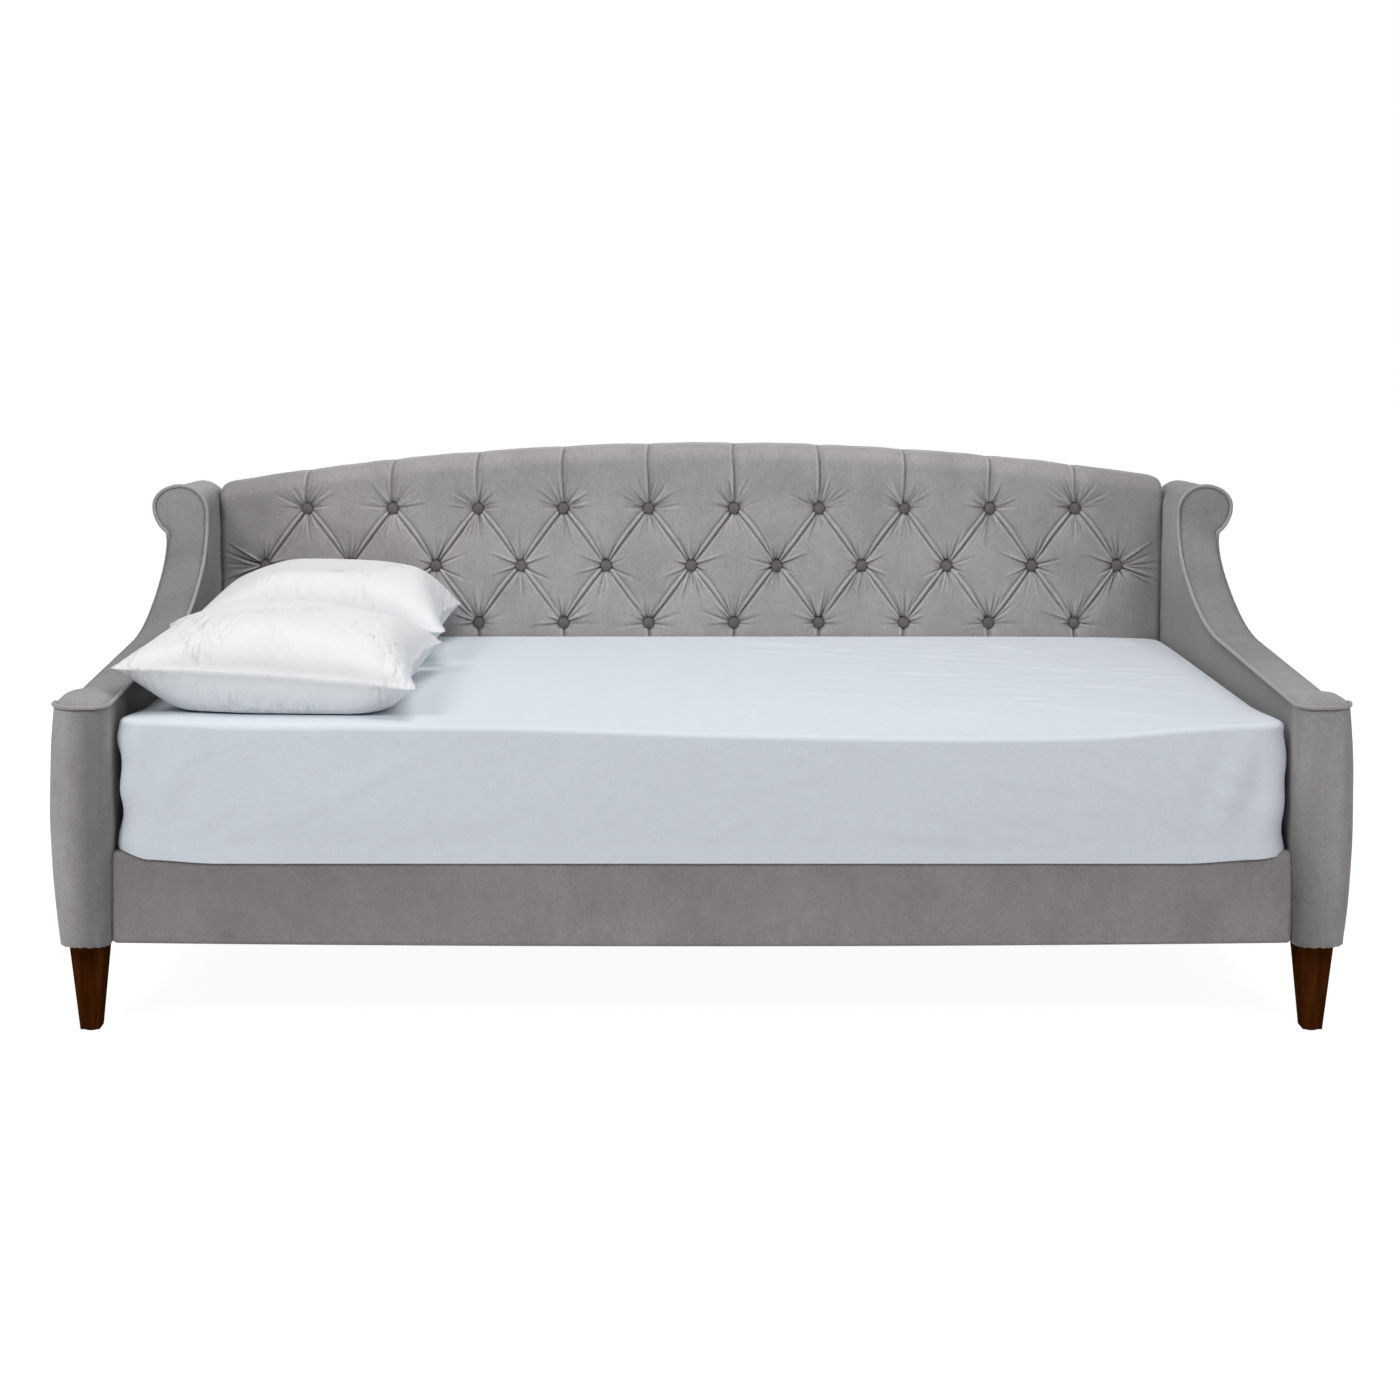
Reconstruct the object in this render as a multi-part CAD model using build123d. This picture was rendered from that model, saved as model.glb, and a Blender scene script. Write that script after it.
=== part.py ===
# Daybed: button-tufted arched back, sloped arms with rolled wings, slatted deck, mattress, sheet and two pillows.
# Frame: origin on the floor under the middle, +X to the right, +Y to the back, +Z up, in millimetres.
from build123d import *
import math
import os

os.makedirs("parts", exist_ok=True)

# Bedding
MATTRESS_LENGTH = 1905.0
MATTRESS_WIDTH = 965.0
MATTRESS_SIDE = 190.0
MATTRESS_CROWN = 8.0
MATTRESS_CORNER = 45.0
MATTRESS_EDGE = 30.0
SHEET = 1.5
SHEET_TUCK = 110.0
PILLOW_LENGTH = 495.0
FRONT_PILLOW_WIDTH = 465.0
REAR_PILLOW_WIDTH = 385.0
FRONT_PILLOW_RISE = 150.0
REAR_PILLOW_RISE = 176.0
PILLOW_DRAW = 14.0
PILLOW_SEAM = 58.0
PILLOW_TILT = 36.0

# Clearances
END_GAP = 11.0
BACK_GAP = 2.0
FRONT_OVERHANG = 3.0
REST_GAP = 0.3
PILLOW_GAP = 12.0
FIT_GAP = 0.5
BOLT_GAP = 0.3
NUT_GAP = 0.05
THREAD_GAP = 0.05
WELT_GAP = 0.15

# Arms
INSIDE_PAD = 15.0
PANEL = 12.0
SPACER = 18.0
OUTSIDE_PAD = 10.0
FACING = 12.0
SCROLL_RADIUS = 50.0
SCROLL_TOP = 823.0
NECK_RADIUS = 25.0
WING_DEPTH = 228.0
WING_SWEEP_RADIUS = 130.0
ARM_SWEEP_RADIUS = 535.0
SWEEP_BREAK = 35.0
ARM_SLOPE = 3.7
WELT = 7.0
WING_BLOCK_WIDTH = 40.0
WING_BLOCK_HEIGHT = 70.0
REAR_POST = 100.0
BASE_RAIL = 45.0
END_COVER = 3.0

# Front posts
POST_DEPTH = 110.0
POST_PROUD = 20.0
POST_FLARE = 41.0
POST_CAP_FLARE = 34.0
POST_FOOT_FLARE = 21.0
POST_BULGE_HEIGHT = 270.0
POST_INNER_ROUND = 24.0
POST_OUTER_ROUND = 34.0
POST_REAR_ROUND = 22.0
POST_FRONT_PAD = 28.0
POST_BLOCK_WIDTH = 68.0

# Back
BACK_CREST = 895.0
BACK_END = 819.0
BACK_PAD = 54.0
BACK_LIP = 15.0
BACK_ROUND = 34.0
BACK_REAR_ROUND = 6.0
TUFT_BOARD = 6.0
BACK_FRAME = 25.0
BACK_PANEL = 8.0
TOP_RAIL = 45.0
BOTTOM_RAIL = 140.0
BOTTOM_RAIL_DEPTH = 45.0
STILE = 45.0
PAD_FLOOR_GAP = 2.0

# Tufting
TUFT_PITCH = 174.6
TUFT_END = 60.0
TUFT_MIDDLE = 647.0
TUFT_ROW = 118.0
TUFT_DEPTH = 30.0
TUFT_MOUTH = 84.0
PLEAT_WIDTH = 28.0
PLEAT_DEPTH = 13.0
BUTTON = 22.0
BUTTON_HEIGHT = 8.0
BUTTON_GAP = 0.5
TWINE = 3.0
TOGGLE = 20.0
TOGGLE_THICKNESS = 3.0

# Front rail
RAIL_HEIGHT = 152.0
RAIL_BOARD = 25.0
RAIL_PAD = 15.0
RAIL_TOP_PAD = 8.0
RAIL_UNDER_PAD = 4.0
RAIL_ROUND = 9.0

# Deck
SLAT_PITCH = 145.0
SLAT_WIDTH = 68.0
SLAT = 18.0
SLAT_PROUD = 2.0
SLAT_END_GAP = 4.0
LEDGE = 30.0
LEDGE_END = 16.0
STRAP = 1.5
STRAP_WIDTH = 30.0
STRAP_INSET = 90.0
BEAM_WIDTH = 40.0
BEAM_HEIGHT = 60.0
BEAM_SETBACK = 40.0
HANGER = 3.0
HANGER_SHELF = 56.0
HANGER_WIDTH = 84.0
SUPPORT_SPACING = 960.0
SUPPORT_CLEAR = 34.0

# Levelling feet
LEVELLER_STEM = 8.0
LEVELLER_FOOT = 36.0
LEVELLER_FOOT_HEIGHT = 8.0
LEVELLER_REACH = 54.0
LEVELLER_TRAVEL = 15.0

# Legs
LEG_HEIGHT = 153.0
LEG_TOP = 58.0
LEG_FOOT = 32.0
LEG_EDGE = 2.0
LEG_SETBACK = 31.0
LEG_INSIDE = 14.0
REAR_LEG_INSET = 26.0
GLIDE = 3.0
GLIDE_DIAMETER = 24.0
GLIDE_STUB = 4.0
GLIDE_STUB_LENGTH = 14.0
HANGER_BOLT_GRIP = 40.0

# Fasteners
BOLT = 8.0
BOLT_HEAD = 13.0
BOLT_HEAD_HEIGHT = 5.5
BOLT_REACH = 30.0
NUT = 12.0
NUT_LENGTH = 14.0
BRACKET = 3.0
BRACKET_LEG = 56.0
BRACKET_HEIGHT = 80.0
BRACKET_RISE = 17.0
BRACKET_BOLT_SPACING = 40.0
BRACKET_BOLT_SETBACK = 18.0
STILE_BOLT_LOW = 420.0
STILE_BOLT_HIGH = 640.0
SCREW = 4.0
SCREW_HEAD = 8.0
SCREW_LENGTH = 48.0
SCREW_SPACING = 340.0

# Places along X
INNER_X = MATTRESS_LENGTH / 2 + SHEET + END_GAP
PANEL_X = INNER_X + INSIDE_PAD
SPACER_X = PANEL_X + PANEL
OUTER_PANEL_X = SPACER_X + SPACER
OUTSIDE_X = OUTER_PANEL_X + PANEL
ARM_OUTER_X = OUTSIDE_X + OUTSIDE_PAD
SCROLL_X = INNER_X + SCROLL_RADIUS
BETWEEN_X = INNER_X - FIT_GAP
REAR_LEG_X = (SPACER_X + OUTER_PANEL_X) / 2
FRONT_LEG_X = INNER_X + LEG_INSIDE + LEG_TOP / 2

# Places along Y
WELT_OUT = (WELT / 2 + WELT_GAP) / math.sqrt(2)
WELT_REACH = WELT_OUT + WELT / 2
SHEET_DEPTH = MATTRESS_WIDTH + 2 * SHEET
BACK_DEPTH = BACK_PAD + TUFT_BOARD + BACK_FRAME + BACK_PANEL
DEPTH = WELT_REACH + POST_PROUD - FRONT_OVERHANG + SHEET_DEPTH + BACK_GAP + BACK_DEPTH
FRONT_Y = -DEPTH / 2 + WELT_REACH
REAR_Y = DEPTH / 2
RAIL_Y = FRONT_Y + POST_PROUD
RAIL_BACK_Y = RAIL_Y + RAIL_PAD + RAIL_BOARD
POST_REAR_Y = FRONT_Y + POST_DEPTH
SHEET_FRONT_Y = RAIL_Y - FRONT_OVERHANG
SHEET_REAR_Y = SHEET_FRONT_Y + SHEET_DEPTH
MATTRESS_Y = (SHEET_FRONT_Y + SHEET_REAR_Y) / 2
PAD_Y = SHEET_REAR_Y + BACK_GAP
BOARD_Y = PAD_Y + BACK_PAD
FRAME_Y = BOARD_Y + TUFT_BOARD
PANEL_Y = FRAME_Y + BACK_FRAME
BOTTOM_RAIL_Y = PANEL_Y - BOTTOM_RAIL_DEPTH
WING_Y = REAR_Y - WING_DEPTH
WOOD_REAR_Y = REAR_Y - END_COVER
REAR_POST_Y = WOOD_REAR_Y - REAR_POST
FRONT_LEG_Y = FRONT_Y + LEG_SETBACK + LEG_TOP / 2
REAR_LEG_Y = REAR_Y - REAR_LEG_INSET - LEG_TOP / 2
BEAM_Y = BEAM_SETBACK

# Places along Z
RAIL_TOP_Z = LEG_HEIGHT + RAIL_HEIGHT
SLAT_TOP_Z = RAIL_TOP_Z + SLAT_PROUD
LEDGE_TOP_Z = SLAT_TOP_Z - SLAT
SHEET_Z = SLAT_TOP_Z + REST_GAP
MATTRESS_Z = SHEET_Z + SHEET
BED_TOP_Z = MATTRESS_Z + MATTRESS_SIDE + MATTRESS_CROWN + SHEET
PAD_Z = SLAT_TOP_Z + PAD_FLOOR_GAP
SCROLL_Z = SCROLL_TOP - SCROLL_RADIUS
NECK_X = ARM_OUTER_X + NECK_RADIUS
NECK_Z = SCROLL_Z - math.sqrt((SCROLL_RADIUS + NECK_RADIUS) ** 2 - (NECK_X - SCROLL_X) ** 2)
FRAME_Z = LEG_HEIGHT + RAIL_UNDER_PAD
BOTTOM_RAIL_TOP_Z = FRAME_Z + BOTTOM_RAIL
BRACKET_Z = LEG_HEIGHT + BRACKET_RISE
BEAM_Z = LEDGE_TOP_Z - BEAM_HEIGHT


def block(x0, x1, y0, y1, z0, z1):
    """A square-edged block between two corners."""
    middle = Pos((x0 + x1) / 2, (y0 + y1) / 2, (z0 + z1) / 2)
    return middle * Box(x1 - x0, y1 - y0, z1 - z0)


def rod_x(x0, x1, y, z, diameter):
    """A round bar along X."""
    return Pos((x0 + x1) / 2, y, z) * Rot(0, 90, 0) * Cylinder(diameter / 2, x1 - x0)


def rod_y(x, y0, y1, z, diameter):
    """A round bar along Y."""
    return Pos(x, (y0 + y1) / 2, z) * Rot(90, 0, 0) * Cylinder(diameter / 2, y1 - y0)


def rod_z(x, y, z0, z1, diameter):
    """A round bar along Z."""
    return Pos(x, y, (z0 + z1) / 2) * Cylinder(diameter / 2, z1 - z0)


def across(face, x0, x1):
    """A face drawn as (Y, Z), thickened between two places along X."""
    return extrude(Plane.YZ.offset(x0) * face, amount=x1 - x0)


def along(face, y0, y1):
    """A face drawn as (X, Z), thickened between two places along Y."""
    drawn = Plane(origin=(0, y0, 0), x_dir=(1, 0, 0), z_dir=(0, -1, 0)) * face
    return extrude(drawn, amount=y1 - y0, dir=(0, 1, 0))


def mirrored(shape):
    """The same shape on the left side."""
    return mirror(shape, about=Plane.YZ)


def save(name, shape):
    """Writes one node; a list of shapes becomes one node of separate solids."""
    if isinstance(shape, (list, tuple)):
        shape = Compound(children=[solid for item in shape for solid in item.solids()])
    export_step(shape, f"parts/{name}.step")


def save_pair(name, shape):
    """Writes a right node and its mirror image on the left."""
    items = shape if isinstance(shape, (list, tuple)) else [shape]
    save(f"right_{name}", items)
    save(f"left_{name}", [mirrored(item) for item in items])


# Arm outlines

def sweep_upper(inset, start_turn=0.0):
    """The tight arc under the scroll in side view, inset into the arm, from a given turn off the vertical."""
    radius = WING_SWEEP_RADIUS + inset
    turn = math.radians(start_turn)
    centre_y = WING_Y - WING_SWEEP_RADIUS
    start = (centre_y + radius * math.cos(turn), SCROLL_Z - radius * math.sin(turn))
    tangent = (-math.sin(turn), -math.cos(turn))
    return JernArc(start, tangent, radius, -(90 - SWEEP_BREAK - start_turn))


def sweep_edges(inset, front_y, start_turn=0.0):
    """The arm's top edge in side view: tight arc, wide arc, then the straight slope to the front."""
    upper = sweep_upper(inset, start_turn)
    lower = JernArc(upper @ 1, upper % 1, ARM_SWEEP_RADIUS + inset, -(SWEEP_BREAK - ARM_SLOPE))
    start = lower @ 1
    drop = (start.X - front_y) * math.tan(math.radians(ARM_SLOPE))
    slope = Line(start, (front_y, start.Y - drop))
    return [upper, lower, slope]


def slope_height(inset, y):
    """Height of the straight slope, inset into the arm, at a place along Y."""
    return (sweep_edges(inset, y)[2] @ 1).Y


def side_face(inset, front_y, top_z):
    """The arm's side outline under its inset top edge."""
    edges = sweep_edges(inset, front_y)
    start = edges[0] @ 0
    end = edges[2] @ 1
    corners = [end, (front_y, LEG_HEIGHT), (REAR_Y, LEG_HEIGHT), (REAR_Y, top_z), (start.X, top_z), start]
    return make_face(Curve() + edges + Polyline(*corners))


def facing_face(front_y, top_z):
    """The strip between the arm's top edge and the same edge one facing lower, in side view."""
    outer = sweep_edges(0, front_y)
    inner = sweep_edges(FACING, front_y)
    top = Polyline(outer[0] @ 0, (WING_Y, top_z), (WING_Y + FACING, top_z), inner[0] @ 0)
    return make_face(Curve() + outer + inner + [top, Line(outer[2] @ 1, inner[2] @ 1)])


def keyhole_face():
    """The arm's front outline: straight inside, round scroll on top, neck, straight outside."""
    scroll_end = math.atan2(NECK_Z - SCROLL_Z, NECK_X - SCROLL_X)
    neck_turn = (scroll_end + math.pi + math.pi) / 2

    def on_scroll(angle):
        return (SCROLL_X + SCROLL_RADIUS * math.cos(angle), SCROLL_Z + SCROLL_RADIUS * math.sin(angle))

    def on_neck(angle):
        return (NECK_X + NECK_RADIUS * math.cos(angle), NECK_Z + NECK_RADIUS * math.sin(angle))

    inner_top = (INNER_X, SCROLL_Z)
    outer_top = on_scroll(0)
    neck_top = on_scroll(scroll_end)
    neck_low = (ARM_OUTER_X, NECK_Z)
    edges = [
        ThreePointArc(inner_top, on_scroll(math.pi / 2), outer_top),
        ThreePointArc(outer_top, on_scroll(scroll_end / 2), neck_top),
        ThreePointArc(neck_top, on_neck(neck_turn), neck_low),
        Polyline(neck_low, (ARM_OUTER_X, LEG_HEIGHT), (INNER_X, LEG_HEIGHT), inner_top),
    ]
    return make_face(Curve() + edges)


def post_face(flare):
    """The front post's plan outline, rounded at both front corners and at the outer rear corner."""
    outer_x = ARM_OUTER_X + flare
    plain = Pos((INNER_X + outer_x) / 2, (FRONT_Y + POST_REAR_Y) / 2) * Rectangle(outer_x - INNER_X, POST_DEPTH)
    corners = plain.vertices().sort_by(Axis.X)
    inner_front = corners[:2].sort_by(Axis.Y)[0]
    outer_front, outer_rear = corners[2:].sort_by(Axis.Y)
    rounded = fillet(inner_front, POST_INNER_ROUND)
    outer_front = rounded.vertices().sort_by_distance((outer_front.X, outer_front.Y))[0]
    rounded = fillet(outer_front, POST_OUTER_ROUND)
    outer_rear = rounded.vertices().sort_by_distance((outer_rear.X, outer_rear.Y))[0]
    return fillet(outer_rear, POST_REAR_ROUND)


# Holes for the frame bolts, the same on every piece that a bolt passes

BRACKET_BOLT_Z = BRACKET_Z + BRACKET_HEIGHT / 2
FRONT_BOLT_Y = POST_REAR_Y - BRACKET_BOLT_SETBACK
REAR_BRACKET_Y = BOTTOM_RAIL_Y - BRACKET
REAR_BOLT_Y = REAR_BRACKET_Y - BRACKET_LEG / 2
STILE_BOLT_Y = FRAME_Y + BACK_FRAME / 2
BRACKET_X = INNER_X - FIT_GAP - BRACKET
STILE_X = BETWEEN_X - STILE

bracket_levels = [BRACKET_BOLT_Z - BRACKET_BOLT_SPACING / 2, BRACKET_BOLT_Z + BRACKET_BOLT_SPACING / 2]
bolt_places = [(BRACKET_X, FRONT_BOLT_Y, z) for z in bracket_levels]
bolt_places += [(BRACKET_X, REAR_BOLT_Y, z) for z in bracket_levels]
bolt_places += [(STILE_X, STILE_BOLT_Y, z) for z in (STILE_BOLT_LOW, STILE_BOLT_HIGH)]
BOLT_END_X = PANEL_X + BOLT_REACH

bolt_holes = [rod_x(STILE_X, BOLT_END_X + FIT_GAP, y, z, BOLT + 2 * BOLT_GAP) for _, y, z in bolt_places]
nut_holes = [rod_x(PANEL_X, PANEL_X + NUT_LENGTH, y, z, NUT + 2 * NUT_GAP) for _, y, z in bolt_places]

HANGER_SCREW_Y = [BEAM_Y - HANGER_WIDTH / 2 + SCREW_HEAD, BEAM_Y + HANGER_WIDTH / 2 - SCREW_HEAD]
hanger_screw_places = [(y, BEAM_Z + BEAM_HEIGHT / 2) for y in HANGER_SCREW_Y]
HANGER_SCREW_END_X = PANEL_X + PANEL
hanger_screw_holes = [
    rod_x(BRACKET_X, HANGER_SCREW_END_X, y, z, SCREW + 2 * THREAD_GAP) for y, z in hanger_screw_places
]

# Arms, drawn on the right side and mirrored

keyhole = keyhole_face()
below_neck = block(0, 2 * ARM_OUTER_X, FRONT_Y, REAR_Y, 0, NECK_Z)
under_facing = side_face(FACING, POST_REAR_Y, SCROLL_TOP)


def arm_layer(x0, x1, rear_y):
    """One flat layer of the arm under its facing, up to the scroll's neck."""
    layer = across(under_facing, x0, x1) & below_neck
    return layer & block(x0, x1, FRONT_Y, rear_y, 0, SCROLL_TOP)


inside_pad = arm_layer(INNER_X, PANEL_X, REAR_Y) - bolt_holes - hanger_screw_holes
inner_panel = arm_layer(PANEL_X, SPACER_X, WOOD_REAR_Y) - bolt_holes - nut_holes - hanger_screw_holes
outer_panel = arm_layer(OUTER_PANEL_X, OUTSIDE_X, WOOD_REAR_Y)
outside_pad = arm_layer(OUTSIDE_X, ARM_OUTER_X, REAR_Y)

CAP_UNDER_Z = slope_height(FACING, FRONT_Y)
post_block = block(
    PANEL_X, PANEL_X + POST_BLOCK_WIDTH, FRONT_Y + POST_FRONT_PAD, POST_REAR_Y, LEG_HEIGHT, CAP_UNDER_Z
)
rear_post = block(SPACER_X, OUTER_PANEL_X, REAR_POST_Y, WOOD_REAR_Y, LEG_HEIGHT, NECK_Z)
base_rail = block(SPACER_X, OUTER_PANEL_X, POST_REAR_Y, REAR_POST_Y, LEG_HEIGHT, LEG_HEIGHT + BASE_RAIL)
wing_block = block(
    SCROLL_X - WING_BLOCK_WIDTH / 2,
    SCROLL_X + WING_BLOCK_WIDTH / 2,
    WING_Y + FACING,
    WOOD_REAR_Y,
    NECK_Z,
    NECK_Z + WING_BLOCK_HEIGHT,
)

leg_places = [(FRONT_LEG_X, FRONT_LEG_Y), (REAR_LEG_X, REAR_LEG_Y)]
LEG_BOLT_TOP_Z = LEG_HEIGHT + HANGER_BOLT_GRIP
leg_bolt_holes = [rod_z(x, y, LEG_HEIGHT, LEG_BOLT_TOP_Z + FIT_GAP, BOLT + 2 * BOLT_GAP) for x, y in leg_places]
leg_nut_holes = [rod_z(x, y, LEG_HEIGHT, LEG_HEIGHT + NUT_LENGTH, NUT + 2 * NUT_GAP) for x, y in leg_places]
arm_holes = bolt_holes + nut_holes + leg_bolt_holes + leg_nut_holes
arm_blocks = [piece - arm_holes for piece in (post_block, rear_post, base_rail, wing_block)]

wing_roll = along(keyhole, WING_Y + FACING, REAR_Y)
wing_roll &= block(0, 2 * ARM_OUTER_X, FRONT_Y, REAR_Y, NECK_Z, SCROLL_TOP)
wing_roll -= wing_block

cap_face = post_face(POST_CAP_FLARE)
arm_strip = across(facing_face(POST_REAR_Y, SCROLL_TOP), INNER_X, SCROLL_X + SCROLL_RADIUS)
arm_strip &= along(keyhole, FRONT_Y, REAR_Y)
cap_strip = across(facing_face(FRONT_Y, SCROLL_TOP), INNER_X, ARM_OUTER_X + POST_CAP_FLARE)
cap_strip &= extrude(cap_face, amount=SCROLL_TOP)
facing = arm_strip + cap_strip

post_levels = [
    (LEG_HEIGHT, POST_FOOT_FLARE),
    (LEG_HEIGHT + POST_BULGE_HEIGHT, POST_FLARE),
    (slope_height(0, POST_REAR_Y), POST_CAP_FLARE),
]
post_pad = loft([Pos(0, 0, z) * post_face(flare) for z, flare in post_levels])
post_pad &= across(side_face(FACING, FRONT_Y, SCROLL_TOP), INNER_X, ARM_OUTER_X + POST_FLARE)
post_pad -= post_block
post_pad -= bolt_holes

# Welts, laid along the corners of the facing

slope_tangent = (0, math.cos(math.radians(ARM_SLOPE)), math.sin(math.radians(ARM_SLOPE)))
CAP_WELT_Z = slope_height(-WELT_OUT, FRONT_Y)
cap_plane = Plane(
    origin=(0, FRONT_Y, CAP_WELT_Z),
    x_dir=(1, 0, 0),
    z_dir=(0, -slope_tangent[2], slope_tangent[1]),
)


def along_slope(y):
    """Distance up the slope from the cap's front to a place along Y."""
    return (y - FRONT_Y) / slope_tangent[1]


def tube(path, diameter):
    """A round tube along a path."""
    return sweep(Plane(path @ 0, z_dir=path % 0) * Circle(diameter / 2), path=path)


def inner_welt():
    """Piping from behind the cap, round its front, up the inner edge and over the scroll."""
    slope_start = sweep_edges(-WELT_OUT, FRONT_Y)[1] @ 1
    outer_x = ARM_OUTER_X + POST_CAP_FLARE + WELT_OUT
    inner_x = INNER_X - WELT_OUT
    rear = along_slope(POST_REAR_Y) + WELT_OUT
    corners = [
        (ARM_OUTER_X + WELT, rear),
        (outer_x, rear),
        (outer_x, -WELT_OUT),
        (inner_x, -WELT_OUT),
        (inner_x, along_slope(slope_start.X)),
    ]
    rounds = [POST_REAR_ROUND + WELT_OUT, POST_OUTER_ROUND + WELT_OUT, POST_INNER_ROUND + WELT_OUT]
    rounds = [min(rounds[0], outer_x - ARM_OUTER_X - WELT - FIT_GAP)] + rounds[1:]
    cap = cap_plane * FilletPolyline(*corners, radius=rounds)
    upper, lower, _ = sweep_edges(-WELT_OUT, FRONT_Y)
    rise = Plane.YZ.offset(inner_x) * (Curve() + [upper, lower])
    scroll_y = WING_Y - WELT_OUT
    scroll = ThreePointArc(
        (inner_x, scroll_y, SCROLL_Z),
        (SCROLL_X, scroll_y, SCROLL_TOP + WELT_OUT),
        (2 * SCROLL_X - inner_x, scroll_y, SCROLL_Z),
    )
    edges = list(cap.edges()) + list(rise.edges()) + list(scroll.edges())
    return tube(Wire(edges), WELT)


def outer_welt():
    """Piping down the outer edge, from the scroll's neck to the post."""
    radius = WING_SWEEP_RADIUS - WELT_OUT
    neck_turn = math.degrees(math.asin((SCROLL_Z - NECK_Z) / radius))
    edges = sweep_edges(-WELT_OUT, POST_REAR_Y + WELT + 2 * WELT_OUT, neck_turn)
    path = Plane.YZ.offset(ARM_OUTER_X + WELT_OUT) * (Curve() + edges)
    return tube(Wire(list(path.edges())), WELT)


welts = [inner_welt(), outer_welt()]

save_pair("arm_inside_pad", inside_pad)
save_pair("arm_outside_pad", outside_pad)
save_pair("arm_inner_panel", inner_panel)
save_pair("arm_outer_panel", outer_panel)
save_pair("arm_blocks", arm_blocks)
save_pair("wing_roll", wing_roll)
save_pair("arm_facing", facing)
save_pair("post_pad", post_pad)
save_pair("arm_welts", welts)

# Back

ARCH_RISE = BACK_CREST - BACK_END
ARCH_RADIUS = (INNER_X ** 2 + ARCH_RISE ** 2) / (2 * ARCH_RISE)


def arch_height(x, inset):
    """Height of the back's top edge, inset into the back, at a place along X."""
    radius = ARCH_RADIUS - inset
    return BACK_CREST - ARCH_RADIUS + math.sqrt(radius ** 2 - x ** 2)


def arch_face(half_width, inset, bottom_z):
    """The back's front outline under its inset arched top edge."""
    end_z = arch_height(half_width, inset)
    top = ThreePointArc((-half_width, end_z), (0, BACK_CREST - inset), (half_width, end_z))
    sides = Polyline((half_width, end_z), (half_width, bottom_z), (-half_width, bottom_z), (-half_width, end_z))
    return make_face(Curve() + [top, sides])


TUFT_PAIRS = int((BETWEEN_X - TUFT_END) // TUFT_PITCH)
row_heights = [TUFT_MIDDLE + TUFT_ROW, TUFT_MIDDLE, TUFT_MIDDLE - TUFT_ROW]
outer_row = [(column + 0.5) * TUFT_PITCH for column in range(-TUFT_PAIRS, TUFT_PAIRS)]
middle_row = [column * TUFT_PITCH for column in range(-TUFT_PAIRS, TUFT_PAIRS + 1)]
row_columns = [outer_row, middle_row, outer_row]
tufts = [(x, z) for columns, z in zip(row_columns, row_heights) for x in columns]
SEAT_Y = PAD_Y + TUFT_DEPTH


def tuft_hollow(x, z):
    """The funnel that a button pulls into the pad, with its twine hole."""
    mouth = Pos(x, PAD_Y + TUFT_DEPTH / 2, z) * Rot(90, 0, 0) * Cone(
        BUTTON / 2 + BUTTON_GAP, TUFT_MOUTH / 2, TUFT_DEPTH
    )
    return mouth + rod_y(x, PAD_Y, BOARD_Y, z, TWINE + 2 * BOLT_GAP)


def pleat(start, end):
    """A V-shaped fold in the pad's face between two places given as (X, Z)."""
    run = Vector(end[0] - start[0], 0, end[1] - start[1])
    sideways = run.normalized().cross(Vector(0, 1, 0)) * (PLEAT_WIDTH / 2)
    origin = Vector(start[0], PAD_Y, start[1])
    lift = Vector(0, -PLEAT_DEPTH, 0)
    corners = [origin + sideways * 2 + lift, origin - sideways * 2 + lift, origin - lift]
    return extrude(Face(Wire.make_polygon(corners)), amount=run.length, dir=run.normalized())


def all_pleats():
    """The diamonds between the rows, and straight folds to the top and bottom edges."""
    folds = []
    for x in outer_row:
        for side in (-TUFT_PITCH / 2, TUFT_PITCH / 2):
            folds.append(pleat((x, row_heights[0]), (x + side, TUFT_MIDDLE)))
            folds.append(pleat((x, row_heights[2]), (x + side, TUFT_MIDDLE)))
        folds.append(pleat((x, row_heights[0]), (x, BACK_CREST)))
        folds.append(pleat((x, row_heights[2]), (x, PAD_Z)))
    return folds


def tufted_pad():
    """The back pad: arched slab with a lip over the frame, rounded on top, pulled in at the buttons."""
    slab = along(arch_face(BETWEEN_X, 0, PAD_Z), PAD_Y, REAR_Y)
    arched = slab.edges().filter_by(GeomType.CIRCLE).sort_by(Axis.Y)
    slab = fillet(arched[0], BACK_ROUND)
    rear_arch = slab.edges().filter_by(GeomType.CIRCLE).sort_by(Axis.Y)[-1]
    slab = fillet(rear_arch, BACK_REAR_ROUND)
    slab -= along(arch_face(2 * BETWEEN_X, BACK_LIP, 0), BOARD_Y, 2 * REAR_Y)
    slab -= all_pleats()
    return slab - [tuft_hollow(x, z) for x, z in tufts]


def button(x, z):
    """One covered button: a low dome on its seat."""
    rise = BUTTON_HEIGHT / 2
    radius = ((BUTTON / 2) ** 2 + rise ** 2) / (2 * rise)
    base = rod_y(x, SEAT_Y - rise, SEAT_Y, z, BUTTON)
    ball = Pos(x, SEAT_Y - 2 * rise + radius, z) * Sphere(radius)
    return base + (ball & rod_y(x, SEAT_Y - 2 * rise, SEAT_Y - rise, z, BUTTON))


def tie(x, z):
    """Twine from a button to a toggle behind the tufting board."""
    twine = rod_y(x, SEAT_Y, FRAME_Y, z, TWINE)
    return twine + rod_y(x, FRAME_Y, FRAME_Y + TOGGLE_THICKNESS, z, TOGGLE)


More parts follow.
